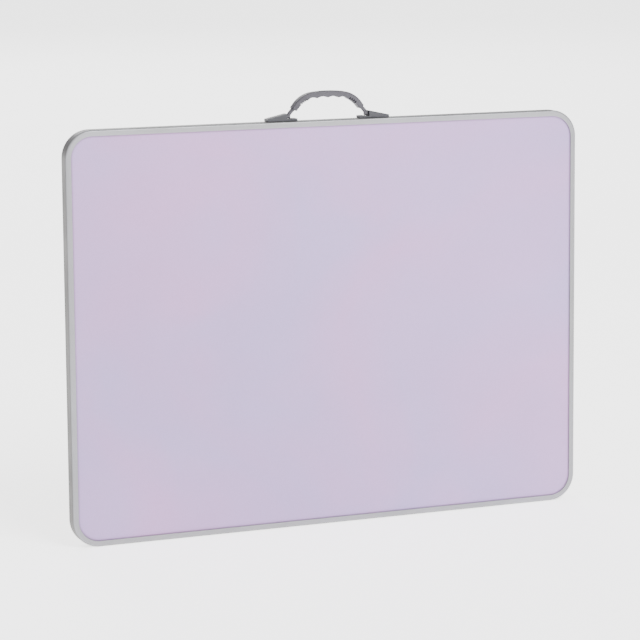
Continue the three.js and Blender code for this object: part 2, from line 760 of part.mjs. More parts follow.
// Four narrow slots in the inner face of an arm.
function armSlots(side) {
  const slotWidth = 1.1;
  const slotPitch = 3.1;
  const firstSlot = 2 * FINGER_PITCH + 1.8;
  const slotDepth = 1.6;
  const halfSpan = 3.4;
  return [0, 1, 2, 3].map((index) => {
    const distance = side * (firstSlot + index * slotPitch);
    const face = archPoint(distance, gripThickness(distance));
    const inside = archPoint(distance, gripThickness(distance) - slotDepth);
    const slot = new THREE.BoxGeometry(slotWidth, 2 * halfSpan, 2 * slotDepth);
    slot.rotateY(Math.atan2(inside.x - face.x, inside.y - face.y));
    slot.translate(face.x, 0, face.y);
    return slot;
  });
}

function makeGrip() {
  const bar = slab(gripOutline(), -GRIP_DEPTH / 2, GRIP_DEPTH / 2, GRIP_EDGE, 2);
  const body = joined([bar, ...makeNeck(-1), ...makeNeck(1)]);
  const slotted = cut(body, [...armSlots(-1), ...armSlots(1)]);
  return piece('handle_grip', toGeometry(slotted), 'plastic');
}

function makeHandle() {
  const handle = new THREE.Group();
  handle.position.set(0, RIM_DEPTH / 2, TOP_WIDTH);
  handle.add(makeGrip());
  for (const [side, label] of [[-1, 'left'], [1, 'right']]) {
    handle.add(makeHandleBase(`${label}_handle_base`, side));
    const [inner, outer] = BASE_SCREW_POSITIONS;
    handle.add(makeBaseScrew(`${label}_inner_handle_screw`, side * inner));
    handle.add(makeBaseScrew(`${label}_outer_handle_screw`, side * outer));
  }
  return handle;
}

// ---------------------------------------------------------------------------
// The whole table
// ---------------------------------------------------------------------------

const table = new THREE.Group();
table.position.y = -TOTAL_DEPTH / 2;
table.add(makeTop());
table.add(makeLegAssembly('left', LEFT_LEG_SPREAD));
table.add(makeLegAssembly('right', RIGHT_LEG_SPREAD));
table.add(makeHandle());

export default table;
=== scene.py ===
"""Looks of a folding table with a carry handle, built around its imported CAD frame.

Metres, in the row frame: +X along the long edge, +Z up, the table surface faces -Y.
Every piece takes its place from the CAD node that it stands for.
"""

import json
import math

import bmesh
import bpy
from mathutils import Matrix, Vector


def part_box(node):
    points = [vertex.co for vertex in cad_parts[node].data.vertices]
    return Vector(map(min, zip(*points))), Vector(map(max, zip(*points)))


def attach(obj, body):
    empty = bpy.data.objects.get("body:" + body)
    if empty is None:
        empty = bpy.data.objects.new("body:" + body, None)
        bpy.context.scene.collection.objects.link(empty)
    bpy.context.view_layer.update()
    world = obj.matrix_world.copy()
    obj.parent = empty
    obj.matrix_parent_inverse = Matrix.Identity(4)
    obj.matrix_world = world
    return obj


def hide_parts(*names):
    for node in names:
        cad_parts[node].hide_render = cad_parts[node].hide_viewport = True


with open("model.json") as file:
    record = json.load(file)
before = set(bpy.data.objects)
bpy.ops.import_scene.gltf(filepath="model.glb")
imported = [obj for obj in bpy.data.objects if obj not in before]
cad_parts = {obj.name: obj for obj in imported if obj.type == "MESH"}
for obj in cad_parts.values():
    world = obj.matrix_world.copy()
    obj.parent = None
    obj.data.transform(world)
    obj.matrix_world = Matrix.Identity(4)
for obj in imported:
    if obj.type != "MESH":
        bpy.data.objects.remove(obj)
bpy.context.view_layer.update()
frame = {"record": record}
MM = 0.001

# --- Camera, lights and floor ---

FRAME_PIXELS = 640
FOCAL_PIXELS = 2662
LENS_SHIFT_PIXELS = 50
SENSOR_WIDTH = 36
CAMERA_AZIMUTH = math.radians(-21.67)
CAMERA_ELEVATION = math.radians(8.25)
CAMERA_ROLL = math.radians(-0.47)
CAMERA_DISTANCE = 2.93
CAMERA_AIM = Vector((-0.0098, -0.0044, 0.2843))

LIGHT_AIM = (0.0, 0.0, 0.22)
LIGHTS = (  # name, place, diameter, power in watts
    ("key", (2.0, -5.8, 5.6), 4.5, 700),
    ("fill", (2.8, -1.8, 1.0), 2.4, 8),
    ("back", (1.2, 7.5, 5.0), 5.0, 300),
)
WORLD_STRENGTH = 0.8
FLOOR_GLOW = 2.4
FLOOR_HALF = 80.0


def add_object(name, data):
    thing = bpy.data.objects.new(name, data)
    bpy.context.scene.collection.objects.link(thing)
    return thing


def make_camera():
    data = bpy.data.cameras.new("camera")
    data.sensor_width = SENSOR_WIDTH
    data.lens = FOCAL_PIXELS / FRAME_PIXELS * SENSOR_WIDTH
    data.shift_y = -LENS_SHIFT_PIXELS / FRAME_PIXELS
    camera = add_object("camera", data)
    level = math.cos(CAMERA_ELEVATION)
    back = Vector((math.sin(CAMERA_AZIMUTH) * level, -math.cos(CAMERA_AZIMUTH) * level, 0))
    back.z = math.sin(CAMERA_ELEVATION)
    turn = (-back).to_track_quat("-Z", "Y").to_matrix().to_4x4()
    roll = Matrix.Rotation(CAMERA_ROLL, 4, "Z")
    place = Matrix.Translation(CAMERA_AIM + back * CAMERA_DISTANCE)
    camera.matrix_world = place @ turn @ roll
    bpy.context.scene.camera = camera


def make_light(name, place, diameter, power):
    data = bpy.data.lights.new(name, "AREA")
    data.shape = "DISK"
    data.size = diameter
    data.energy = power
    light = add_object(name, data)
    light.location = place
    aim = Vector(LIGHT_AIM) - light.location
    light.rotation_euler = aim.to_track_quat("-Z", "Y").to_euler()


def make_studio():
    world = bpy.data.worlds.new("studio")
    world.use_nodes = True
    background = world.node_tree.nodes["Background"]
    background.inputs["Color"].default_value = (1.0, 1.0, 1.0, 1.0)
    background.inputs["Strength"].default_value = WORLD_STRENGTH
    bpy.context.scene.world = world
    for light in LIGHTS:
        make_light(*light)

    mesh = bpy.data.meshes.new("floor")
    corners = [(-1, -1), (1, -1), (1, 1), (-1, 1)]
    mesh.from_pydata([(FLOOR_HALF * x, FLOOR_HALF * y, 0) for x, y in corners], [], [(0, 1, 2, 3)])
    floor = add_object("floor", mesh)
    floor.data.materials.append(floor_material())


# --- Materials ---


class Finish:
    """A small helper for one node material: coordinates, textures, and the shader."""

    def __init__(self, name, metallic=0.0):
        self.material = bpy.data.materials.new(name)
        self.material.use_nodes = True
        self.nodes = self.material.node_tree.nodes
        self.links = self.material.node_tree.links
        self.shader = self.nodes["Principled BSDF"]
        self.shader.inputs["Metallic"].default_value = metallic
        self.bump = None

    def coordinates(self, stretch=(1, 1, 1), source="Object"):
        place = self.nodes.new("ShaderNodeTexCoord")
        mapping = self.nodes.new("ShaderNodeMapping")
        mapping.inputs["Scale"].default_value = stretch
        self.links.new(place.outputs[source], mapping.inputs["Vector"])
        return mapping.outputs["Vector"]

    def noise(self, size, detail=4, stretch=(1, 1, 1), source="Object", distortion=0.0):
        """Noise whose features are about `size` metres across."""
        node = self.nodes.new("ShaderNodeTexNoise")
        node.inputs["Scale"].default_value = 1 / size
        node.inputs["Detail"].default_value = detail
        node.inputs["Distortion"].default_value = distortion
        self.links.new(self.coordinates(stretch, source), node.inputs["Vector"])
        return node.outputs["Fac"]

    def cells(self, size):
        node = self.nodes.new("ShaderNodeTexVoronoi")
        node.inputs["Scale"].default_value = 1 / size
        self.links.new(self.coordinates(), node.inputs["Vector"])
        return node.outputs["Distance"]

    def ramp(self, value, *stops):
        """Stops are (position, colour) pairs, a colour being linear RGB or one grey value."""
        node = self.nodes.new("ShaderNodeValToRGB")
        ramp = node.color_ramp
        while len(ramp.elements) < len(stops):
            ramp.elements.new(0.5)
        for element, (position, colour) in zip(ramp.elements, stops):
            rgb = colour if isinstance(colour, tuple) else (colour,) * 3
            element.position = position
            element.color = (*rgb, 1.0)
        self.links.new(value, node.inputs["Fac"])
        return node.outputs["Color"]

    def distance_along(self, direction):
        """How far a point lies along a direction from the origin, times its length."""
        place = self.nodes.new("ShaderNodeTexCoord")
        dot = self.nodes.new("ShaderNodeVectorMath")
        dot.operation = "DOT_PRODUCT"
        dot.inputs[1].default_value = direction
        self.links.new(place.outputs["Object"], dot.inputs[0])
        return dot.outputs["Value"]

    def noise_ramp(self, first, last, *noise, **more):
        """Noise, ramped between two stops."""
        return self.ramp(self.noise(*noise, **more), first, last)

    def tone(self):
        """The mesh's own "tone" value, 0 to 1: how much painted shade it gets."""
        node = self.nodes.new("ShaderNodeAttribute")
        node.attribute_name = "tone"
        return node.outputs["Fac"]

    def multiply(self, first, second):
        node = self.nodes.new("ShaderNodeMix")
        node.data_type = "RGBA"
        node.blend_type = "MULTIPLY"
        node.inputs["Factor"].default_value = 1.0
        self.links.new(first, node.inputs["A"])
        self.links.new(second, node.inputs["B"])
        return node.outputs["Result"]

    def worn_edges(self, width):
        """High along convex edges: how far the bevelled normal leans from the true one."""
        bevel = self.nodes.new("ShaderNodeBevel")
        bevel.samples = 4
        bevel.inputs["Radius"].default_value = width
        geometry = self.nodes.new("ShaderNodeNewGeometry")
        dot = self.nodes.new("ShaderNodeVectorMath")
        dot.operation = "DOT_PRODUCT"
        self.links.new(bevel.outputs["Normal"], dot.inputs[0])
        self.links.new(geometry.outputs["Normal"], dot.inputs[1])
        return dot.outputs["Value"]

    def raise_surface(self, height, depth, strength=1.0):
        """Bumps of `depth` metres; each call adds to the last."""
        node = self.nodes.new("ShaderNodeBump")
        node.inputs["Strength"].default_value = strength
        node.inputs["Distance"].default_value = depth
        self.links.new(height, node.inputs["Height"])
        if self.bump is not None:
            self.links.new(self.bump, node.inputs["Normal"])
        self.bump = node.outputs["Normal"]

    def done(self, colour, roughness):
        self.links.new(colour, self.shader.inputs["Base Color"])
        self.links.new(roughness, self.shader.inputs["Roughness"])
        if self.bump is not None:
            self.links.new(self.bump, self.shader.inputs["Normal"])
        return self.material


def srgb(red, green, blue):
    """A colour in the usual 0 to 255 steps, as linear RGB."""

    def linear(step):
        value = step / 255
        return value / 12.92 if value <= 0.04045 else ((value + 0.055) / 1.055) ** 2.4

    return (linear(red), linear(green), linear(blue))


def floor_material():
    """Matt pale paint that glows a little, so that the ground stays pale in soft light."""
    finish = Finish("studio_floor")
    colour = finish.noise_ramp((0.3, srgb(248, 248, 248)), (0.7, srgb(252, 252, 252)), 0.6, 2)
    finish.shader.inputs["Emission Color"].default_value = (1.0, 1.0, 1.0, 1.0)
    finish.shader.inputs["Emission Strength"].default_value = FLOOR_GLOW
    return finish.done(colour, finish.noise_ramp((0.3, 0.75), (0.7, 0.85), 0.3, 2))


def laminate_material():
    """Lavender melamine-type laminate: cloudy tint, fine fibre fleck, satin pebble grain.

    Painted shade darkens it towards one lower corner and along its edge, in the crease at the
    rim's lip.
    """
    finish = Finish("lavender_laminate")
    cool = srgb(177, 154, 206)
    warm = srgb(190, 150, 202)
    cloud = finish.noise_ramp((0.36, cool), (0.64, warm), 0.22, 3, distortion=0.8)
    tone = finish.noise_ramp((0.3, 0.965), (0.7, 1.0), 0.09, 4)
    fleck = finish.noise_ramp((0.42, 0.955), (0.6, 1.0), 0.0011, 3)
    thread = finish.noise_ramp((0.4, 0.97), (0.62, 1.0), 0.0009, 3, stretch=(1, 1, 9))
    # painted shade in the crease where the sheet meets the rim's lip, read from the "tone"
    # attribute
    darkening = finish.ramp(finish.tone(), (0.0, (1, 1, 1)), (1.0, (0.71, 0.7, 0.68)))
    # painted shade: darker towards the lower left corner
    painted_shade_gradient = finish.ramp(finish.distance_along((0.8, 0.0, 0.9)), (0.0, 0.87), (0.42, 1.0))
    print_tone = finish.multiply(finish.multiply(cloud, tone), finish.multiply(fleck, thread))
    colour = finish.multiply(print_tone, finish.multiply(darkening, painted_shade_gradient))
    smudge = finish.noise_ramp((0.35, 0.44), (0.68, 0.56), 0.06, 5, stretch=(1, 1, 2.4))
    scuff = finish.noise_ramp((0.55, 1.0), (0.72, 0.86), 0.004, 6, stretch=(1, 1, 14))
    finish.raise_surface(finish.noise(0.0007, 3), 0.00003, 0.5)
    finish.raise_surface(finish.noise(0.012, 2), 0.00004, 0.25)
    return finish.done(colour, finish.multiply(smudge, scuff))


def board_material():
    """Raw fibreboard back: matted fibres, darker flecks and resin clouds."""
    finish = Finish("fibreboard")
    cloud = finish.noise_ramp((0.3, srgb(154, 129, 98)), (0.7, srgb(166, 141, 108)), 0.05, 4)
    fibre = finish.noise_ramp((0.35, 0.78), (0.62, 1.05), 0.0016, 6, stretch=(1, 1, 2.5))
    speck = finish.ramp(finish.cells(0.0035), (0.05, 0.62), (0.16, 1.0))
    colour = finish.multiply(finish.multiply(cloud, fibre), speck)
    finish.raise_surface(finish.noise(0.0014, 6, stretch=(1, 1, 2.5)), 0.00012, 0.6)
    return finish.done(colour, finish.noise_ramp((0.3, 0.78), (0.7, 0.92), 0.02, 3))


def rim_material():
    """Satin anodised extrusion: die lines run along it, bright worn edges, painted shade on the
    outer wall.
    """
    finish = Finish("satin_rim", metallic=0.72)
    cloud = finish.noise_ramp((0.3, srgb(153, 153, 154)), (0.7, srgb(163, 163, 168)), 0.16, 3)

    def die_lines():
        return finish.noise(0.02, 4, stretch=(1.0, 60.0, 1.0), source="UV")

    lines = finish.ramp(die_lines(), (0.35, 0.94), (0.65, 1.0))
    grain = finish.noise_ramp((0.4, 0.95), (0.6, 1.0), 0.0006, 2)
    edge = finish.ramp(finish.worn_edges(0.0008), (0.90, 1.14), (0.985, 1.0))
    # painted shade: dark on the outer wall, a little on the rest of the rim, least on the top
    # side, where the light falls
    wall = finish.ramp(finish.tone(), (0.0, (1, 1, 1)), (1.0, (0.21, 0.2, 0.19)))
    drawn_metal = finish.multiply(finish.multiply(cloud, lines), finish.multiply(grain, edge))
    colour = finish.multiply(drawn_metal, wall)
    satin = finish.noise_ramp((0.3, 0.42), (0.7, 0.54), 0.05, 4)
    drawn = finish.ramp(die_lines(), (0.35, 1.0), (0.65, 0.9))
    finish.raise_surface(die_lines(), 0.00002, 0.35)
    finish.raise_surface(finish.noise(0.0005, 2), 0.00001, 0.3)
    return finish.done(colour, finish.multiply(satin, drawn))


def tube_material():
    """Drawn aluminium tube: fine lines along it and a little handling wear."""
    finish = Finish("drawn_tube", metallic=0.9)
    cloud = finish.noise_ramp((0.3, srgb(196, 198, 201)), (0.7, srgb(216, 217, 219)), 0.05, 4)
    lines = finish.noise_ramp((0.35, 0.92), (0.65, 1.0), 0.0012, 4, stretch=(0.03, 1, 1))
    colour = finish.multiply(cloud, lines)
    satin = finish.noise_ramp((0.3, 0.28), (0.7, 0.42), 0.03, 4)
    finish.raise_surface(finish.noise(0.0012, 4, stretch=(0.03, 1, 1)), 0.000012, 0.4)
    return finish.done(colour, satin)


def plated_steel_material():
    """Zinc plate: cool spangle with faint yellow passivation, brighter on worn edges."""
    finish = Finish("zinc_plate", metallic=1.0)
    spangle = finish.ramp(
        finish.cells(0.0022), (0.1, srgb(148, 151, 156)), (0.8, srgb(166, 168, 171))
    )
    tint = finish.noise_ramp((0.4, (1, 1, 1)), (0.75, (1.0, 0.965, 0.88)), 0.02, 3)
    edge = finish.ramp(finish.worn_edges(0.0006), (0.88, 1.2), (0.98, 1.0))
    # grime: random darkening of the plate
    darkening = finish.noise_ramp((0.3, 0.82), (0.55, 1.0), 0.006, 5)
    colour = finish.multiply(finish.multiply(spangle, tint), finish.multiply(edge, darkening))
    finish.raise_surface(finish.noise(0.0009, 4), 0.00002, 0.4)
    return finish.done(colour, finish.noise_ramp((0.3, 0.3), (0.7, 0.5), 0.008, 4))


def spring_steel_material():
    """Blued spring strip."""
    finish = Finish("blued_spring", metallic=1.0)
    colour = finish.noise_ramp((0.3, srgb(88, 98, 122)), (0.6, srgb(120, 118, 128)), 0.004, 3)
    finish.raise_surface(finish.noise(0.0006, 3, stretch=(0.1, 1, 1)), 0.00001, 0.4)
    return finish.done(colour, finish.noise_ramp((0.3, 0.25), (0.7, 0.4), 0.003, 3))


def plastic_material(name, shade, dark):
    """Moulded polypropylene: spark-eroded grain, flow clouds, polished and pale worn edges."""
    finish = Finish(name)
    cloud = finish.noise_ramp((0.3, dark), (0.7, shade), 0.02, 4)
    grain = finish.noise_ramp((0.4, 0.93), (0.6, 1.03), 0.0004, 2)
    edge = finish.ramp(finish.worn_edges(0.0006), (0.86, 1.22), (0.97, 1.0))
    colour = finish.multiply(cloud, finish.multiply(grain, edge))
    sheen = finish.noise_ramp((0.3, 0.4), (0.7, 0.55), 0.006, 4)
    finish.raise_surface(finish.noise(0.0004, 3), 0.00004, 0.45)
    return finish.done(colour, sheen)


def rubber_material():
    """Dull moulded rubber with floor dust rubbed into it."""
    finish = Finish("foot_rubber")
    dust = finish.noise_ramp((0.45, srgb(40, 40, 42)), (0.75, srgb(78, 76, 74)), 0.005, 5)
    edge = finish.ramp(finish.worn_edges(0.0007), (0.86, 1.7), (0.97, 1.0))
    colour = finish.multiply(dust, edge)
    finish.raise_surface(finish.noise(0.0005, 3), 0.00005, 0.5)
    return finish.done(colour, finish.noise_ramp((0.3, 0.7), (0.7, 0.9), 0.004, 3))


FINISHES = {
    "laminate": laminate_material(),
    "board": board_material(),
    "rim": rim_material(),
    "tube": tube_material(),
    "plated_steel": plated_steel_material(),
    "spring_steel": spring_steel_material(),
    "grip_plastic": plastic_material("grip_plastic", srgb(71, 69, 76), srgb(57, 55, 62)),
    "dark_plastic": plastic_material("dark_plastic", srgb(58, 58, 64), srgb(49, 49, 54)),
    "foot_rubber": rubber_material(),
}
SLOT_OF_NODE = {s["node"]: s["material_slot"] for s in frame["record"]["subparts"]}
BODY_OF_NODE = {
    node: body
    for body, members in frame["record"]["behaviour"]["bodies"].items()
    for node in members
}

# --- Mesh helpers ---

SMOOTH_ANGLE = math.radians(32)
ROUND = 64  # sides of a full-size turned piece
FASTENER_SIDES = 36


def finish_piece(name, build, node, bevel=0.0, segments=3):
    """Turns a bmesh into a piece that stands for one CAD node, with its body and material."""
    bmesh.ops.remove_doubles(build, verts=build.verts, dist=1e-7)
    bmesh.ops.recalc_face_normals(build, faces=build.faces)
    for face in build.faces:
        face.smooth = True
    for edge in build.edges:
        edge.smooth = edge.calc_face_angle(math.pi) < SMOOTH_ANGLE
    mesh = bpy.data.meshes.new(name)
    build.to_mesh(mesh)
    build.free()
    piece = add_object(name, mesh)
    slot = SLOT_OF_NODE[node]
    piece.data.materials.append(FINISHES[slot])
    if bevel > 0:
        rounding = piece.modifiers.new("rounded_edges", "BEVEL")
        rounding.width = bevel
        rounding.segments = segments
        rounding.limit_method = "ANGLE"
        rounding.angle_limit = SMOOTH_ANGLE
        rounding.use_clamp_overlap = True
        rounding.harden_normals = True
    weighted = piece.modifiers.new("even_shading", "WEIGHTED_NORMAL")
    weighted.keep_sharp = True
    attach(piece, BODY_OF_NODE[node])
    return piece


def stand_for(name, build, node, bevel=0.0, segments=3):
    piece = finish_piece(name, build, node, bevel, segments)
    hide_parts(node)
    return piece


def skin(build, rings, closed_path=False):
    """Joins closed rings of vertices with quads, each to the next. Returns the rings' vertices."""
    rows = [[build.verts.new(point) for point in ring] for ring in rings]
    last = len(rows) if closed_path else len(rows) - 1
    for index in range(last):
        first, second = rows[index], rows[(index + 1) % len(rows)]
        count = len(first)
        for side in range(count):
            after = (side + 1) % count
            build.faces.new((first[side], first[after], second[after], second[side]))
    return rows


AXES = {
    "X": (Vector((0, 1, 0)), Vector((0, 0, 1)), Vector((1, 0, 0))),
    "Y": (Vector((0, 0, 1)), Vector((1, 0, 0)), Vector((0, 1, 0))),
    "Z": (Vector((1, 0, 0)), Vector((0, 1, 0)), Vector((0, 0, 1))),
}


def angles(count):
    """Angles in radians, evenly round a full turn."""
    return [2 * math.pi * index / count for index in range(count)]


def close_ends(build, rows):
    build.faces.new(rows[0])
    build.faces.new(rows[-1])


def turned(profile, centre, axis, direction=1, sides=ROUND, factor=None):
    """A turned solid. The profile lists (distance along, radius) from end to end.

    A profile that starts and ends at radius 0 is closed on the axis; any other is a ring.
    factor(along, angle, radius) may scale the radius.
    """
    across, up, along = AXES[axis]
    solid = profile[0][1] == 0
    build = bmesh.new()
    rings = []
    for distance, radius in profile:
        if radius == 0:
            continue
        ring = []
        for angle in angles(sides):
            scale = factor(distance, angle, radius) if factor else 1.0
            spread = across * math.cos(angle) + up * math.sin(angle)
            ring.append(centre + along * direction * distance + spread * radius * scale)
        rings.append(ring)
    rows = skin(build, rings, closed_path=not solid)
    if solid:
        close_ends(build, rows)
    return build


def arc(centre, radius, start, end, steps):
    """Points (u, v) on an arc, angles in degrees."""
    return [
        (
            centre[0] + radius * math.cos(math.radians(start + (end - start) * i / steps)),
            centre[1] + radius * math.sin(math.radians(start + (end - start) * i / steps)),
        )
        for i in range(steps + 1)
    ]


def extruded(outline, low, high, to_point):
    """A prism: the outline's (u, v) points carried from w = low to w = high.

    to_point(u, v, w) places them.
    """
    return capped([[to_point(u, v, w) for u, v in outline] for w in (low, high)])


def merged(*builds):
    """Several bmeshes as one."""
    whole = builds[0]
    for other in builds[1:]:
        mesh = bpy.data.meshes.new("part")
        other.to_mesh(mesh)
        other.free()
        whole.from_mesh(mesh)
        bpy.data.meshes.remove(mesh)
    return whole


def middle(node):
    low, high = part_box(node)
    return (low + high) / 2


def capped(rings):
    """A solid skin over rings of points, closed by a face at each end."""
    build = bmesh.new()
    close_ends(build, skin(build, rings))
    return build


def cut_away(piece, cuts, name, crossing=False):
    """Takes a bmesh of cuts out of a piece. crossing says that the cuts meet each other."""
    mesh = bpy.data.meshes.new(name)
    cuts.to_mesh(mesh)
    cuts.free()
    cutter = add_object(name, mesh)
    cut = piece.modifiers.new("cut", "BOOLEAN")
    cut.operation = "DIFFERENCE"
    cut.solver = "EXACT"
    cut.use_self = crossing
    cut.object = cutter
    bake_modifiers(piece)
    bpy.data.objects.remove(cutter)


def bake_modifiers(piece):
    """Replaces a piece's mesh with its evaluated one, so that helper objects can go."""
    graph = bpy.context.evaluated_depsgraph_get()
    baked = bpy.data.meshes.new_from_object(piece.evaluated_get(graph))
    piece.modifiers.clear()
    piece.data = baked


# --- Top: rim, laminate and board ---

CORNER_RADIUS = 30 * MM
CORNER_STEPS = 28
LIP_WIDTH = 6.4 * MM
LIP_THICKNESS = 1.2 * MM
RETURN_LIP_WIDTH = 4.5 * MM
RIM_WALL = 1.4 * MM
RIM_EDGE = 2.2 * MM
LIP_NOSE = 0.35 * MM
EDGE_STEPS = 8  # along each straight edge
GAP = 0.3 * MM  # clearance between neighbouring pieces


def corner_centres(low, high, radius):
    """A rounded rectangle's corner centres, each with the angle that its arc starts at."""
    return [
        (high.x - radius, low.z + radius, -90),
        (high.x - radius, high.z - radius, 0),
        (low.x + radius, high.z - radius, 90),
        (low.x + radius, low.z + radius, 180),
    ]


def outline_path(low, high):
    """Points on the top's outer edge, each with the unit direction pointing out of the top."""
    centres = corner_centres(low, high, CORNER_RADIUS)
    stations = []
    for index, (x, z, start) in enumerate(centres):
        for step in range(CORNER_STEPS + 1):
            angle = math.radians(start + 90 * step / CORNER_STEPS)
            outward = Vector((math.cos(angle), 0, math.sin(angle)))
            stations.append((Vector((x, 0, z)) + outward * CORNER_RADIUS, outward))
        following = centres[(index + 1) % 4]
        turn = math.radians(following[2])
        outward = Vector((math.cos(turn), 0, math.sin(turn)))
        start_point = stations[-1][0]
        end_point = Vector((following[0], 0, following[1])) + outward * CORNER_RADIUS
        for step in range(1, EDGE_STEPS):
            stations.append((start_point.lerp(end_point, step / EDGE_STEPS), outward))
    return stations


def rim_profile(depth, board_back):
    """The extrusion's section as (inset from the outer edge, depth from the front face)."""
    nose = LIP_NOSE
    lip_back = board_back + GAP
    rear_lip = lip_back + LIP_THICKNESS
    return [
        *arc((RIM_EDGE, RIM_EDGE), RIM_EDGE, 180, 270, 8),
        *arc((LIP_WIDTH - nose, nose), nose, 270, 360, 3),
        *arc((LIP_WIDTH - nose, LIP_THICKNESS - nose), nose, 0, 90, 3),
        (RIM_WALL, LIP_THICKNESS),
        (RIM_WALL, lip_back),
        *arc((LIP_WIDTH - nose, lip_back + nose), nose, 270, 360, 3),
        *arc((LIP_WIDTH - nose, rear_lip - nose), nose, 0, 90, 3),
        (RIM_WALL, rear_lip),
        (RIM_WALL, depth - LIP_THICKNESS),
        *arc((RETURN_LIP_WIDTH - nose, depth - LIP_THICKNESS + nose), nose, 270, 360, 3),
        *arc((RETURN_LIP_WIDTH - nose, depth - nose), nose, 0, 90, 3),
        *arc((RIM_EDGE, depth - RIM_EDGE), RIM_EDGE, 90, 180, 8),
    ]


PAINTED_SHADE_INSET = 0.9 * MM  # how far the outer wall's painted shade reaches over the rounded edge


def make_rim():
    """The rim, with its painted shade as a "tone" attribute (1 on its outer wall) and UVs in
    metres along and around it.
    """
    low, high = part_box("edge_rim")
    board_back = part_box("core_board")[1].y - low.y
    profile = rim_profile(high.y - low.y, board_back)
    stations = outline_path(low, high)
    build = bmesh.new()
    rings = [
        [point - outward * inset + Vector((0, low.y + depth, 0)) for inset, depth in profile]
        for point, outward in stations
    ]
    shade = build.verts.layers.float.new("tone")
    rows = skin(build, rings, closed_path=True)
    for row, (_, outward) in zip(rows, stations):
        upward = max(0.0, outward.z)
        # painted shade: up to 1 on the outer wall, 0.2 on the rest, both less on the top side,
        # which faces the light
        wall, front = 1.0 - 0.4 * upward, 0.2 * (1.0 - upward)
        for vert, (inset, _) in zip(row, profile):
            vert[shade] = max(front, wall * (1.0 - inset / PAINTED_SHADE_INSET))
    layer = build.loops.layers.uv.new("along")
    lengths = [0.0]
    for index in range(1, len(stations) + 1):
        step = stations[index % len(stations)][0] - stations[index - 1][0]
        lengths.append(lengths[-1] + step.length)
    around = [0.0]
    for index in range(1, len(profile) + 1):
        here, there = profile[index - 1], profile[index % len(profile)]
        around.append(around[-1] + math.dist(here, there))
    build.faces.index_update()
    count = len(profile)
    for face in build.faces:
        station, side = divmod(face.index, count)
        for loop, (onward, past) in zip(face.loops, ((0, 0), (0, 1), (1, 1), (1, 0))):
            loop[layer].uv = (lengths[station + onward], around[side + past])
    stand_for("rim_extrusion", build, "edge_rim")


CREASE_SHADE_BANDS = (  # inset from the sheet's edge, and how much painted shade the crease at the lip gets there
    (4.2 * MM, 1.0),
    (5.5 * MM, 1.0),
    (6.1 * MM, 0.35),
    (7.4 * MM, 0.0),
)


def sheet_mesh(node, radius, edge):
    """A thin rounded rectangle with softened edges, gridded so that it shades evenly."""
    low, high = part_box(node)
    rings = []
    bands = [(inset, low.y) for inset, _ in reversed(CREASE_SHADE_BANDS)]
    levels = [*bands, (edge, low.y), (0, low.y + edge), (0, high.y - edge), (edge, high.y)]
    for inset, y in levels:
        ring = []
        for x, z, start in corner_centres(low, high, radius):
            ring += [
                Vector((u, y, v))
                for u, v in arc((x, z), radius - inset, start, start + 90, CORNER_STEPS)
            ]
        rings.append(ring)
    build = bmesh.new()
    shade = build.verts.layers.float.new("tone")
    rows = skin(build, rings)
    close_ends(build, rows)
    # painted crease shade, band by band, stored as the "tone" attribute
    for row, (_, amount) in zip(rows, reversed(CREASE_SHADE_BANDS)):
        for vert in row:
            vert[shade] = amount
    return build


def make_sheets():
    radius = CORNER_RADIUS - RIM_WALL - GAP
    for name, node, edge in (
        ("laminate_sheet", "surface_laminate", 0.1 * MM),
        ("fibre_board", "core_board", 0.3 * MM),
    ):
        stand_for(name, sheet_mesh(node, radius, edge), node)


# --- Hinges ---

SIDES = ("left", "right")
INWARD = {"left": 1, "right": -1}  # along X, from a hinge towards the middle
ENDS = ("lower", "upper")

GROOVE_PLACE = 0.82  # shares of the rail's half width and of its thickness
GROOVE_DEPTH = 0.3
GROOVE_REACH = 1.1 * MM


def make_rail(side):
    """A pressed steel rail with two shallow stiffening grooves along its open face."""
    node = f"{side}_hinge_rail"
    low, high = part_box(node)
    thickness = high.y - low.y
    half = (high.x - low.x) / 2
    centre = (low.x + high.x) / 2
    depth = GROOVE_DEPTH * thickness
    bottom = 0.4 * GROOVE_REACH
    groove = ((GROOVE_REACH, 0), (bottom, depth), (-bottom, depth), (-GROOVE_REACH, 0))
    outline = [(-half, 0), (half, 0), (half, thickness)]
    for place in (GROOVE_PLACE * half, -GROOVE_PLACE * half):
        outline += [(place + u, thickness - v) for u, v in groove]
    outline.append((-half, thickness))
    build = extruded(outline, low.z, high.z, lambda u, v, w: Vector((centre + u, low.y + v, w)))
    stand_for(f"{side}_rail", build, node, bevel=0.25 * MM)


RIVETS = {"rail": (1.0 * MM, 1.2 * MM), "bracket": (1.3 * MM, 1.6 * MM)}  # head, shank radius


def make_rivet(node, kind):
    """A rivet on the +Y side of its pieces: shank, then a domed head with a setting dimple."""
    low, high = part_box(node)
    head_radius = (high.x - low.x) / 2
    head_height, shank = RIVETS[kind]
    total = high.y - low.y
    dome = [
        (total - head_height + head_height * v, head_radius * u)
        for u, v in arc((0, 0), 1.0, 0, 70, 7)
    ]
    profile = [
        (0, 0),
        (0, shank),
        (total - head_height, shank),
        *dome,
        (total - 0.02 * head_height, head_radius * 0.16),
        (total - 0.3 * head_height, head_radius * 0.12),
        (total - 0.3 * head_height, 0),
    ]
    centre = middle(node)
    centre.y = low.y
    stand_for(f"{node}_dome", turned(profile, centre, "Y", sides=FASTENER_SIDES), node)


BRACKET_PLATE = 1.2 * MM
CHEEK = 1.4 * MM
CHEEK_GAP = 14.6 * MM
STOP_WALL = 7.5 * MM
CHEEK_TOP = 6.0 * MM  # above the pin's axis
CHEEK_TOE = 10 * MM
BRACKET_HALF_LENGTH = 13 * MM
BRACKET_CORNER = 3 * MM
CHEEK_SETBACK = 0.1 * MM  # cheeks behind the stop wall's outer face
WALL_SHOULDER = 2 * MM


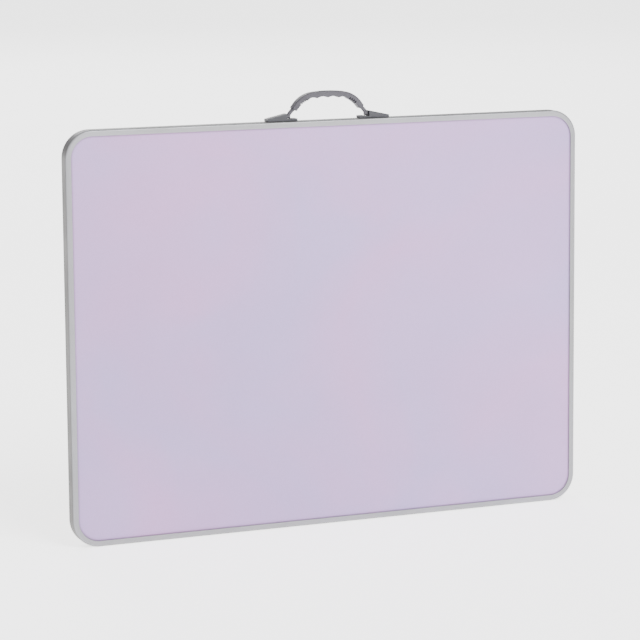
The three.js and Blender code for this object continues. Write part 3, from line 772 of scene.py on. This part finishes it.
def make_bracket(side, end):
    """A pressed bracket: base plate, two rounded cheeks and a stop wall between them."""
    node = f"{side}_{end}_hinge_bracket"
    pin = middle(f"{side}_{end}_pivot_pin")
    low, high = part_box(node)
    inward = INWARD[side]

    def place(u, v, w):
        return Vector((pin.x + inward * u, v, pin.z + w))

    corner = BRACKET_CORNER
    across = (high.z - low.z) / 2 - corner
    along = BRACKET_HALF_LENGTH - corner
    plate_outline = [
        *arc((-along, -across), corner, 180, 270, 6),
        *arc((along, -across), corner, 270, 360, 6),
        *arc((along, across), corner, 0, 90, 6),
        *arc((-along, across), corner, 90, 180, 6),
    ]
    plate = extruded(
        plate_outline, low.y, low.y + BRACKET_PLATE, lambda u, v, w: place(u, w, v)
    )
    inner = CHEEK_GAP / 2
    foot = low.y + BRACKET_PLATE * 0.5
    top = pin.y + CHEEK_TOP
    wall_back = -STOP_WALL - BRACKET_PLATE
    cheek_back = wall_back + CHEEK_SETBACK
    cheek_outline = [
        (cheek_back, foot),
        (CHEEK_TOE, foot),
        *arc((0, pin.y), CHEEK_TOP, 8, 90, 12),
        *arc((cheek_back + corner, top - corner), corner, 90, 180, 6),
    ]
    cheeks = [
        extruded(cheek_outline, w, w + sign * CHEEK, place)
        for w, sign in ((inner, 1), (-inner, -1))
    ]
    wall_half = inner + CHEEK * 0.5
    wall_outline = [
        (-wall_half, foot),
        (wall_half, foot),
        (wall_half, top - WALL_SHOULDER),
        *arc((inner - corner, top - corner), corner, 0, 90, 5),
        *arc((-inner + corner, top - corner), corner, 90, 180, 5),
        (-wall_half, top - WALL_SHOULDER),
    ]
    wall = extruded(wall_outline, wall_back, -STOP_WALL, lambda u, v, w: place(w, v, u))
    stand_for(f"{side}_{end}_bracket", merged(plate, *cheeks, wall), node, bevel=0.35 * MM)


SPRING_THICKNESS = 0.4 * MM
SPRING_STEPS = 20


def make_spring(side, end):
    """A bowed strip with rounded shoulders."""
    node = f"{side}_{end}_detent_spring"
    low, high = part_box(node)
    centre = (low + high) / 2
    rise = high.y - low.y - SPRING_THICKNESS
    half = (high.x - low.x) / 2
    under = []
    for step in range(SPRING_STEPS + 1):
        u = -half + 2 * half * step / SPRING_STEPS
        share = min(1.0, (half - abs(u)) / (half * 0.5))
        under.append((u, low.y + rise * (0.5 - 0.5 * math.cos(math.pi * share))))
    over = [(u, v + SPRING_THICKNESS) for u, v in reversed(under)]
    build = extruded(under + over, low.z, high.z, lambda u, v, w: Vector((centre.x + u, v, w)))
    stand_for(f"{side}_{end}_spring", build, node, bevel=0.1 * MM, segments=2)


PIN_SHANK = 2.4 * MM
PIN_HEAD_HEIGHT = 1.5 * MM
PIN_SIDES = 40


def make_pin(side, end):
    """A pivot rivet with a domed head on one end and a peened one on the other."""
    node = f"{side}_{end}_pivot_pin"
    low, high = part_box(node)
    head = (high.x - low.x) / 2
    thick = PIN_HEAD_HEIGHT
    half = (high.z - low.z) / 2
    dome = [(half - thick + thick * v, head * u) for u, v in arc((0, 0), 1.0, 0, 80, 8)]
    peened = [
        (-half, 0),
        (-half, 0.5 * head),
        (-half + 0.3 * thick, 0.62 * head),
        (-half + 0.45 * thick, 0.9 * head),
        (-half + 0.75 * thick, head),
        (-half + thick, head * 0.97),
        (-half + thick, PIN_SHANK),
        (half - thick, PIN_SHANK),
    ]
    build = turned([*peened, *dome, (half, 0)], middle(node), "Z", sides=PIN_SIDES)
    stand_for(f"{side}_{end}_pin", build, node)


# --- Leg frames ---

KNUCKLE_FLAT = 6.2 * MM
KNUCKLE_RADIUS = 7 * MM
KNUCKLE_SHOULDER = 8.7 * MM
KNUCKLE_BOSS = 4.6 * MM
KNUCKLE_RIM_DEPTH = 1.6 * MM
KNUCKLE_RECESS = 0.7 * MM
RECESS_SHARE = 0.8  # the recess is the outline made smaller, then moved towards the tube
RECESS_SHIFT = 0.9 * MM
PLUG_RADIUS = 5.7 * MM
PLUG_OVERLAP = 1 * MM
PLUG_LEAD = 1.2 * MM  # the tapered end's length and drop
PLUG_DROP = 0.8 * MM


def make_knuckle(side, end):
    """A moulded end piece with two detent flats, cored-out sides and a plug for the tube."""
    node = f"{side}_{end}_leg_knuckle"
    pin = middle(f"{side}_{end}_pivot_pin")
    low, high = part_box(node)
    inward = INWARD[side]
    half = (high.z - low.z) / 2

    def place(u, v, w):
        return Vector((pin.x + inward * u, pin.y + v, pin.z + w))

    flat = math.degrees(math.acos(KNUCKLE_FLAT / KNUCKLE_RADIUS))
    outer = [
        (KNUCKLE_SHOULDER, -KNUCKLE_FLAT),
        (KNUCKLE_SHOULDER, KNUCKLE_FLAT),
        *arc((0, 0), KNUCKLE_RADIUS, 90 - flat, 180 - flat, 14),
        *arc((0, 0), KNUCKLE_RADIUS, 180 + flat, 270 - flat, 8),
    ]
    inner = [(u * RECESS_SHARE + RECESS_SHIFT, v * RECESS_SHARE) for u, v in outer]
    core = extruded(outer, -half + KNUCKLE_RECESS, half - KNUCKLE_RECESS, place)
    boss = turned(
        [(-half, 0), (-half, KNUCKLE_BOSS), (half, KNUCKLE_BOSS), (half, 0)],
        pin,
        "Z",
        sides=PIN_SIDES,
    )
    rims = []
    for sign in (-1, 1):
        build = bmesh.new()
        root, face = sign * (half - KNUCKLE_RIM_DEPTH), sign * half
        corners = ((outer, root), (outer, face), (inner, face), (inner, root))
        rings = [[place(u, v, w) for u, v in outline] for outline, w in corners]
        skin(build, rings, closed_path=True)
        rims.append(build)
    plug_end = high.x - pin.x if side == "left" else pin.x - low.x
    plug = turned(
        [
            (KNUCKLE_SHOULDER - PLUG_OVERLAP, 0),
            (KNUCKLE_SHOULDER - PLUG_OVERLAP, PLUG_RADIUS),
            (plug_end - PLUG_LEAD, PLUG_RADIUS),
            (plug_end, PLUG_RADIUS - PLUG_DROP),
            (plug_end, 0),
        ],
        pin,
        "X",
        direction=inward,
        sides=48,
    )
    build = merged(core, boss, *rims, plug)
    stand_for(f"{side}_{end}_knuckle", build, node, bevel=0.25 * MM, segments=2)


TUBE_WALL = 1 * MM


def make_tube(name, node):
    """A drawn tube with softly rounded cut ends."""
    low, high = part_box(node)
    radius = (high.z - low.z) / 2
    half = (high.x - low.x) / 2
    lip = 0.3 * MM
    bore = radius - TUBE_WALL
    profile = [
        (-half, bore + lip),
        (-half, radius - lip),
        (-half + lip, radius),
        (half - lip, radius),
        (half, radius - lip),
        (half, bore + lip),
        (half - lip, bore),
        (-half + lip, bore),
    ]
    stand_for(name, turned(profile, middle(node), "X"), node)


LEG_SADDLE = 7.3 * MM  # a leg's radius and the clearance that the bar's coped end keeps
CROSSBAR_SIDES = 48
WELD_STATIONS = 72
WELD_SIDES = 10
WELD_RADIUS = 0.75 * MM
WELD_RIPPLE = 0.12 * MM
WELD_RIPPLES = 19
WELD_SINK = 0.1 * MM  # the seam inside the leg's saddle and outside the bar
WELD_LIFT = 0.2 * MM
WELD_STANDOFF = 0.05 * MM


def make_crossbar(side):
    """The bar between the legs, coped to them, with a weld bead round each end."""
    node = f"{side}_leg_crossbar"
    low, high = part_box(node)
    centre = (low + high) / 2
    radius = (high.x - low.x) / 2
    leg = LEG_SADDLE
    bottom, top = sorted(middle(f"{side}_{end}_outer_tube").z for end in ENDS)
    build = bmesh.new()
    for wall_radius in (radius, radius - TUBE_WALL):
        rings = []
        for share in (0.0, 0.02, 0.5, 0.98, 1.0):
            ring = []
            for angle in angles(CROSSBAR_SIDES):
                x, y = wall_radius * math.cos(angle), wall_radius * math.sin(angle)
                saddle = math.sqrt(leg * leg - y * y)
                z = (bottom + saddle) * (1 - share) + (top - saddle) * share
                ring.append(Vector((centre.x + x, centre.y + y, z)))
            rings.append(ring)
        skin(build, rings)
    open_edges = [e for e in build.edges if e.is_boundary]
    bmesh.ops.bridge_loops(build, edges=[e for e in open_edges if e.verts[0].co.z < centre.z])
    open_edges = [e for e in build.edges if e.is_boundary]
    bmesh.ops.bridge_loops(build, edges=open_edges)
    stand_for(f"{side}_crossbar", build, node)
    for leg_z, sign, end in ((bottom, 1, "lower"), (top, -1, "upper")):
        bead = bmesh.new()
        rings = []
        for angle in angles(WELD_STATIONS):
            ripple = WELD_RADIUS + WELD_RIPPLE * math.sin(angle * WELD_RIPPLES)
            outward = Vector((math.cos(angle), math.sin(angle), 0))
            y = (radius + WELD_SINK) * math.sin(angle)
            saddle = math.sqrt((leg - WELD_SINK) ** 2 - y * y)
            base = Vector((centre.x, centre.y, leg_z + sign * (saddle + WELD_LIFT)))
            core = base + outward * (radius + WELD_STANDOFF)
            ring = []
            for around in angles(WELD_SIDES):
                rise = Vector((0, 0, sign * ripple * math.sin(around)))
                ring.append(core + outward * ripple * math.cos(around) + rise)
            rings.append(ring)
        skin(bead, rings, closed_path=True)
        finish_piece(f"{side}_{end}_weld", bead, node)


def leg_piece(side, node):
    """A leg piece's end nearest the hinge, its direction away from it, its length and radius."""
    low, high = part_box(node)
    inward = INWARD[side]
    start = low if side == "left" else high
    centre = Vector((start.x, middle(node).y, middle(node).z))
    return centre, inward, high.x - low.x, (high.z - low.z) / 2


def over(base, *rows):
    """Profile rows from (millimetres along, millimetres over the base radius) pairs."""
    return [(along * MM, base + rise * MM) for along, rise in rows]


COLLAR_LEVELS = 26
COLLAR_SIDES = 144
COLLAR_WIDE_BORE = 7.3 * MM
COLLAR_NARROW_BORE = 6.0 * MM
COLLAR_SHOULDER = 12.3 * MM
BAND_START = 8 * MM
BAND_END = 22 * MM
BAND_EASE = 1.5 * MM
FLUTES = 18
FLUTE_DEPTH = 0.075  # as a share of the radius


def flutes(along, angle, radius):
    """The collar's radius factor: 1 off the grip band and in the bores."""
    if radius < COLLAR_WIDE_BORE + 0.1 * MM or not BAND_START < along < BAND_END:
        return 1.0
    ease = min(1.0, (along - BAND_START) / BAND_EASE, (BAND_END - along) / BAND_EASE)
    return 1.0 - FLUTE_DEPTH * ease * (0.5 + 0.5 * math.cos(FLUTES * angle)) ** 2


def make_collar(side, end):
    """A twist collar: flared skirt, fluted grip band, and a tapered nose."""
    node = f"{side}_{end}_twist_collar"
    centre, inward, length, radius = leg_piece(side, node)

    body = over(
        radius, (0, -1.2), (0.5, -0.6), (2, -0.5), (5, -0.35), (6, -0.9), (7, -0.9), (7.6, 0)
    )
    grip = [
        (BAND_START + (BAND_END - BAND_START) * i / COLLAR_LEVELS, radius)
        for i in range(COLLAR_LEVELS + 1)
    ]
    nose = [
        *over(radius, (22.6, -0.1), (23.4, -0.9), (24.4, -0.9)),
        (length - 1 * MM, radius - 2.1 * MM),
        (length, radius - 2.5 * MM),
    ]
    bores = [
        (length, COLLAR_NARROW_BORE),
        (COLLAR_SHOULDER, COLLAR_NARROW_BORE),
        (COLLAR_SHOULDER, COLLAR_WIDE_BORE),
        (0, COLLAR_WIDE_BORE),
    ]
    profile = [*body, *grip, *nose, *bores]
    build = turned(profile, centre, "X", direction=inward, sides=COLLAR_SIDES, factor=flutes)
    stand_for(f"{side}_{end}_collar", build, node)


FOOT_BORE = 6.0 * MM
FOOT_BORE_DEPTH = 12.3 * MM
SOLE_GROOVE = 0.7 * MM


def make_foot(side, end):
    """A rubber cap with two grip grooves, a bulged heel and a ringed sole."""
    node = f"{side}_{end}_foot"
    centre, inward, length, radius = leg_piece(side, node)
    neck = radius - 1 * MM
    groove = length - SOLE_GROOVE
    sole = [
        (length, radius - 0.8 * MM),
        (length, radius - 2.4 * MM),
        (groove, radius - 2.7 * MM),
        (groove, radius - 3.7 * MM),
        (length, radius - 4.0 * MM),
        (length, radius - 5.4 * MM),
        (groove, radius - 5.7 * MM),
        (groove, 0),
    ]
    profile = [
        (FOOT_BORE_DEPTH, 0),
        (FOOT_BORE_DEPTH, FOOT_BORE),
        (0, FOOT_BORE),
        *over(neck, (0, -0.4), (0.4, 0), (3, 0), (3.4, -0.5), (4.2, -0.5), (4.6, 0.05)),
        *over(neck, (6.6, 0.1), (7.0, -0.4), (7.8, -0.4), (8.2, 0.25), (10.5, 0.5)),
        *over(radius, (12.3, -0.1), (13.2, 0)),
        (length - 0.8 * MM, radius),
        (length - 0.25 * MM, radius - 0.25 * MM),
        *sole,
    ]
    build = turned(profile, centre, "X", direction=inward)
    stand_for(f"{side}_{end}_rubber_foot", build, node)


# --- Carry handle ---

GRIP_TOP = 31.7 * MM
CROWN_RADIUS = 150.7 * MM
CROWN_HALF_WIDTH = 18 * MM
SHOULDER_RADIUS = 30.7 * MM
ARM_ANGLE = 0.92
ARM_LENGTH = 5.4 * MM
CROWN_ANGLE = math.asin(CROWN_HALF_WIDTH / CROWN_RADIUS)
CROWN_LENGTH = CROWN_RADIUS * CROWN_ANGLE
SHOULDER_LENGTH = SHOULDER_RADIUS * (ARM_ANGLE - CROWN_ANGLE)
ARCH_HALF_LENGTH = CROWN_LENGTH + SHOULDER_LENGTH + ARM_LENGTH
GRIP_THICKNESS = 7.4 * MM
GRIP_END_THICKNESS = 6.0 * MM
FINGER_PITCH = 13.3 * MM
FINGER_GROOVE = 1.4 * MM
PIVOT_HEIGHT = 5.1 * MM
GRIP_CROWNING = 0.14  # how much the grip's front and back faces bulge
GRIP_EDGE = 1.1 * MM
GRIP_EDGE_STEPS = 6
GRIP_STATIONS = 150
GRIP_END_ROUNDING = 0.6 * MM
GRIP_END_RINGS = ((0.0, 0.82), (0.25, 0.93))  # share of the rounding, section's squeeze


def arch_point(distance, depth):
    """A point along the grip's top line, moved inwards by depth: (x, height over the rim).

    The line is a crown arc, then a shoulder arc, then a straight arm on each side.
    """
    along = abs(distance)
    side = 1 if distance >= 0 else -1
    past = along - CROWN_LENGTH
    crown_centre = GRIP_TOP - CROWN_RADIUS
    if past <= 0:
        turn, radius, x0, z0 = along / CROWN_RADIUS, CROWN_RADIUS, 0.0, crown_centre
    else:
        shift = CROWN_RADIUS - SHOULDER_RADIUS
        turn = min(CROWN_ANGLE + past / SHOULDER_RADIUS, ARM_ANGLE)
        radius = SHOULDER_RADIUS
        x0 = shift * math.sin(CROWN_ANGLE)
        z0 = crown_centre + shift * math.cos(CROWN_ANGLE)
    straight = max(0.0, past - SHOULDER_LENGTH)
    x = x0 + (radius - depth) * math.sin(turn) + straight * math.cos(turn)
    z = z0 + (radius - depth) * math.cos(turn) - straight * math.sin(turn)
    return side * x, z


def grip_thickness(distance):
    fingered = abs(distance) < 2 * FINGER_PITCH
    scallop = abs(math.sin(math.pi * distance / FINGER_PITCH)) if fingered else 0.0
    reach = abs(distance) / ARCH_HALF_LENGTH
    base = GRIP_THICKNESS + (GRIP_END_THICKNESS - GRIP_THICKNESS) * reach * reach
    return base - FINGER_GROOVE * scallop


def make_grip():
    """The grip: an arched bar with finger scallops, slotted arms, slim necks and spigots."""
    low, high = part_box("handle_grip")
    centre_y = (low.y + high.y) / 2
    rim_top = high.z - GRIP_TOP
    half_depth = (high.y - low.y) / 2

    def ring_at(distance, squeeze=1.0):
        thick = grip_thickness(distance)
        ring = []
        corners = (
            (GRIP_EDGE, half_depth - GRIP_EDGE, 90, 0),
            (thick - GRIP_EDGE, half_depth - GRIP_EDGE, 0, -90),
            (thick - GRIP_EDGE, -half_depth + GRIP_EDGE, -90, -180),
            (GRIP_EDGE, -half_depth + GRIP_EDGE, 180, 90),
        )
        for depth, across, start, stop in corners:
            for u, v in arc((0, 0), GRIP_EDGE, start, stop, GRIP_EDGE_STEPS):
                y = across + u
                d = depth - v
                d = thick / 2 + (d - thick / 2) * squeeze
                lean = abs(d - thick / 2) / (thick / 2)
                y *= (1 - GRIP_CROWNING * lean * lean) * (0.5 + 0.5 * squeeze)
                x, z = arch_point(distance, d)
                ring.append(Vector((x, centre_y + y, rim_top + z)))
        return ring

    end = ARCH_HALF_LENGTH
    round_off = GRIP_END_ROUNDING
    distances = [-end + 2 * end * i / GRIP_STATIONS for i in range(GRIP_STATIONS + 1)]
    rings = [ring_at(-end + s * round_off, squeeze) for s, squeeze in GRIP_END_RINGS]
    rings += [ring_at(d) for d in distances if abs(d) < end - round_off]
    rings += [ring_at(end - s * round_off, squeeze) for s, squeeze in reversed(GRIP_END_RINGS)]
    grip = stand_for("grip_bar", capped(rings), "handle_grip")
    cut_slots(grip, centre_y, rim_top)
    for side in (-1, 1):
        make_neck(side, centre_y, rim_top)


SLOT_WIDTH = 1.5 * MM
SLOT_FRONT = -6.2 * MM
SLOT_BACK = 3.6 * MM
SLOT_DEPTH = 2.6 * MM
SLOT_PITCH = 3.1 * MM
SLOTS = 4
FIRST_SLOT = 2 * FINGER_PITCH + 1.8 * MM


def cut_slots(grip, centre_y, rim_top):
    """Four narrow slots in the inner face of each arm, open at its front."""
    cuts = bmesh.new()
    for side in (-1, 1):
        for index in range(SLOTS):
            distance = side * (FIRST_SLOT + index * SLOT_PITCH)
            thick = grip_thickness(distance)
            x, z = arch_point(distance, thick)
            inner_x, inner_z = arch_point(distance, thick - SLOT_DEPTH)
            lean = math.atan2(inner_x - x, inner_z - z)
            place = (
                Matrix.Translation((x, centre_y + (SLOT_FRONT + SLOT_BACK) / 2, rim_top + z))
                @ Matrix.Rotation(lean, 4, "Y")
                @ Matrix.Diagonal((SLOT_WIDTH, SLOT_BACK - SLOT_FRONT, 2 * SLOT_DEPTH, 1))
            )
            bmesh.ops.create_cube(cuts, size=1, matrix=place)
    cut_away(grip, cuts, "slot_cutter")


NECK_INNER = 43.7 * MM
NECK_OUTER = 47.7 * MM
NECK_SPIGOT_END = 52.7 * MM
NECK_ROOT_RADIUS = 2.3 * MM
NECK_SPIGOT_RADIUS = 1.5 * MM
NECK_EDGE = 0.4 * MM
NECK_IN_ARM = 2.0 * MM  # how far its upper end lies inside the arm
NECK_KNEE = 2.6 * MM  # height over the pivot that its curve leaves towards
NECK_HALF_THICKNESS = 1.95 * MM
NECK_TAPER = 0.15 * MM
NECK_HALF_DEPTH = 2.0 * MM
NECK_FLARE = 1.6 * MM
NECK_FLARE_START = 0.35
NECK_STEPS = 12
NECK_SIDES = 28
NECK_SQUARENESS = 0.55  # 1 is an ellipse, 0 a rectangle


def make_neck(side, centre_y, rim_top):
    """The slim neck from an arm down to its pivot, with a round root and a spigot."""
    label = "left" if side < 0 else "right"
    arm_x, arm_z = arch_point(side * (ARCH_HALF_LENGTH - NECK_IN_ARM), GRIP_END_THICKNESS / 2)
    root = Vector(((NECK_INNER + NECK_OUTER) / 2, PIVOT_HEIGHT))
    knee = root + Vector((0, NECK_KNEE))
    arm = Vector((abs(arm_x), arm_z))
    path = []
    for step in range(NECK_STEPS + 1):
        t = step / NECK_STEPS
        path.append(root * (1 - t) ** 2 + knee * 2 * t * (1 - t) + arm * t * t)
    rings = []
    for index, point in enumerate(path):
        before = path[max(0, index - 1)]
        after = path[min(len(path) - 1, index + 1)]
        along = (after - before).normalized()
        across = Vector((along.y, -along.x))
        share = index / (len(path) - 1)
        half_thick = NECK_HALF_THICKNESS - NECK_TAPER * share
        half_depth = NECK_HALF_DEPTH + NECK_FLARE * max(0.0, share - NECK_FLARE_START)
        ring = []
        for angle in angles(NECK_SIDES):
            c, s = math.cos(angle), math.sin(angle)
            u = math.copysign(abs(c) ** NECK_SQUARENESS, c) * half_thick
            v = math.copysign(abs(s) ** NECK_SQUARENESS, s) * half_depth
            spot = point + across * u
            ring.append(Vector((side * spot.x, centre_y + v, rim_top + spot.y)))
        rings.append(ring)
    centre = Vector((0, centre_y, rim_top + PIVOT_HEIGHT))
    disc = [
        (NECK_INNER, 0),
        (NECK_INNER, NECK_ROOT_RADIUS - NECK_EDGE),
        (NECK_INNER + 0.35 * MM, NECK_ROOT_RADIUS),
        (NECK_OUTER - 0.35 * MM, NECK_ROOT_RADIUS),
        (NECK_OUTER, NECK_ROOT_RADIUS - NECK_EDGE),
        (NECK_OUTER, NECK_SPIGOT_RADIUS),
        (NECK_SPIGOT_END - NECK_EDGE, NECK_SPIGOT_RADIUS),
        (NECK_SPIGOT_END, NECK_SPIGOT_RADIUS - NECK_EDGE),
        (NECK_SPIGOT_END, 0),
    ]
    root_build = turned(disc, centre, "X", direction=side, sides=PIN_SIDES)
    finish_piece(f"{label}_neck", merged(capped(rings), root_build), "handle_grip")


BASE_INNER_END = 36.5 * MM
WEDGE_FACE = 48.0 * MM
TONGUE_HEIGHT = 3.0 * MM
NOTCH_HEIGHT = 2.2 * MM
NOTCH_START = 43.4 * MM
TOE_HEIGHT = 3.4 * MM
PEAK_HEIGHT = 8.4 * MM
BASE_EDGE = 0.5 * MM
PEAK_WIDTH = 1.2 * MM


def make_handle_base(label, side):
    """A wedge with a low tongue, softened all round, and a notch where the neck turns."""
    node = f"{label}_handle_base"
    low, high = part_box(node)
    foot = low.z
    outer = max(abs(low.x), abs(high.x))
    rim_top = foot - GAP
    toe, peak, tongue = (rim_top + h for h in (TOE_HEIGHT, PEAK_HEIGHT, TONGUE_HEIGHT))
    notch = rim_top + NOTCH_HEIGHT
    r = BASE_EDGE
    slope = math.degrees(math.atan2(PEAK_HEIGHT - TOE_HEIGHT, outer - WEDGE_FACE - PEAK_WIDTH))
    outline = [
        (BASE_INNER_END, foot),
        (outer, foot),
        (outer, toe - r),
        *arc((outer - r, toe - r), r, 0, 90 - slope, 4),
        *arc((WEDGE_FACE + r, peak - r), r, 90 - slope, 180, 5),
        (WEDGE_FACE, notch),
        (NOTCH_START, notch),
        (NOTCH_START, tongue),
        *arc((BASE_INNER_END + r, tongue - r), r, 90, 180, 3),
    ]
    build = extruded(outline, low.y, high.y, lambda u, v, w: Vector((side * u, w, v)))
    stand_for(f"{label}_base", build, node, bevel=0.3 * MM)


SCREW_HEAD_RADIUS = 2.8 * MM
SCREW_HEAD_HEIGHT = 1.8 * MM
SCREW_SHANK = 1.5 * MM
RECESS_LENGTH = 2.6 * MM
RECESS_WIDTH = 0.7 * MM
RECESS_DEPTH = 0.8 * MM


def make_base_screw(node):
    """A pan-head screw seen from inside the rim, with a cross recess."""
    low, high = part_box(node)
    centre = middle(node)
    centre.z = low.z
    head, height = SCREW_HEAD_RADIUS, SCREW_HEAD_HEIGHT
    total = high.z - low.z
    profile = [
        (0, 0),
        (0, 0.55 * head),
        (0.12 * height, 0.8 * head),
        (0.4 * height, 0.96 * head),
        (0.6 * height, head),
        (height, head),
        (height, SCREW_SHANK),
        (total, SCREW_SHANK),
        (total, 0),
    ]
    screw = stand_for(f"{node}_pan", turned(profile, centre, "Z", sides=FASTENER_SIDES), node)
    cuts = bmesh.new()
    for size in ((RECESS_LENGTH, RECESS_WIDTH), (RECESS_WIDTH, RECESS_LENGTH)):
        place = Matrix.Translation(centre) @ Matrix.Diagonal((*size, 2 * RECESS_DEPTH, 1))
        bmesh.ops.create_cube(cuts, size=1, matrix=place)
    cut_away(screw, cuts, "recess_cutter", crossing=True)


# --- Putting it together ---

make_camera()
make_studio()
make_rim()
make_sheets()
for side in SIDES:
    make_rail(side)
    make_crossbar(side)
    for end in ENDS:
        make_rivet(f"{side}_{end}_rail_rivet", "rail")
        make_rivet(f"{side}_{end}_outer_bracket_rivet", "bracket")
        make_rivet(f"{side}_{end}_inner_bracket_rivet", "bracket")
        make_bracket(side, end)
        make_spring(side, end)
        make_pin(side, end)
        make_knuckle(side, end)
        make_tube(f"{side}_{end}_upper_leg", f"{side}_{end}_outer_tube")
        make_tube(f"{side}_{end}_lower_leg", f"{side}_{end}_inner_tube")
        make_collar(side, end)
        make_foot(side, end)
make_grip()
for label, sign in (("left", -1), ("right", 1)):
    make_handle_base(label, sign)
    make_base_screw(f"{label}_inner_handle_screw")
    make_base_screw(f"{label}_outer_handle_screw")
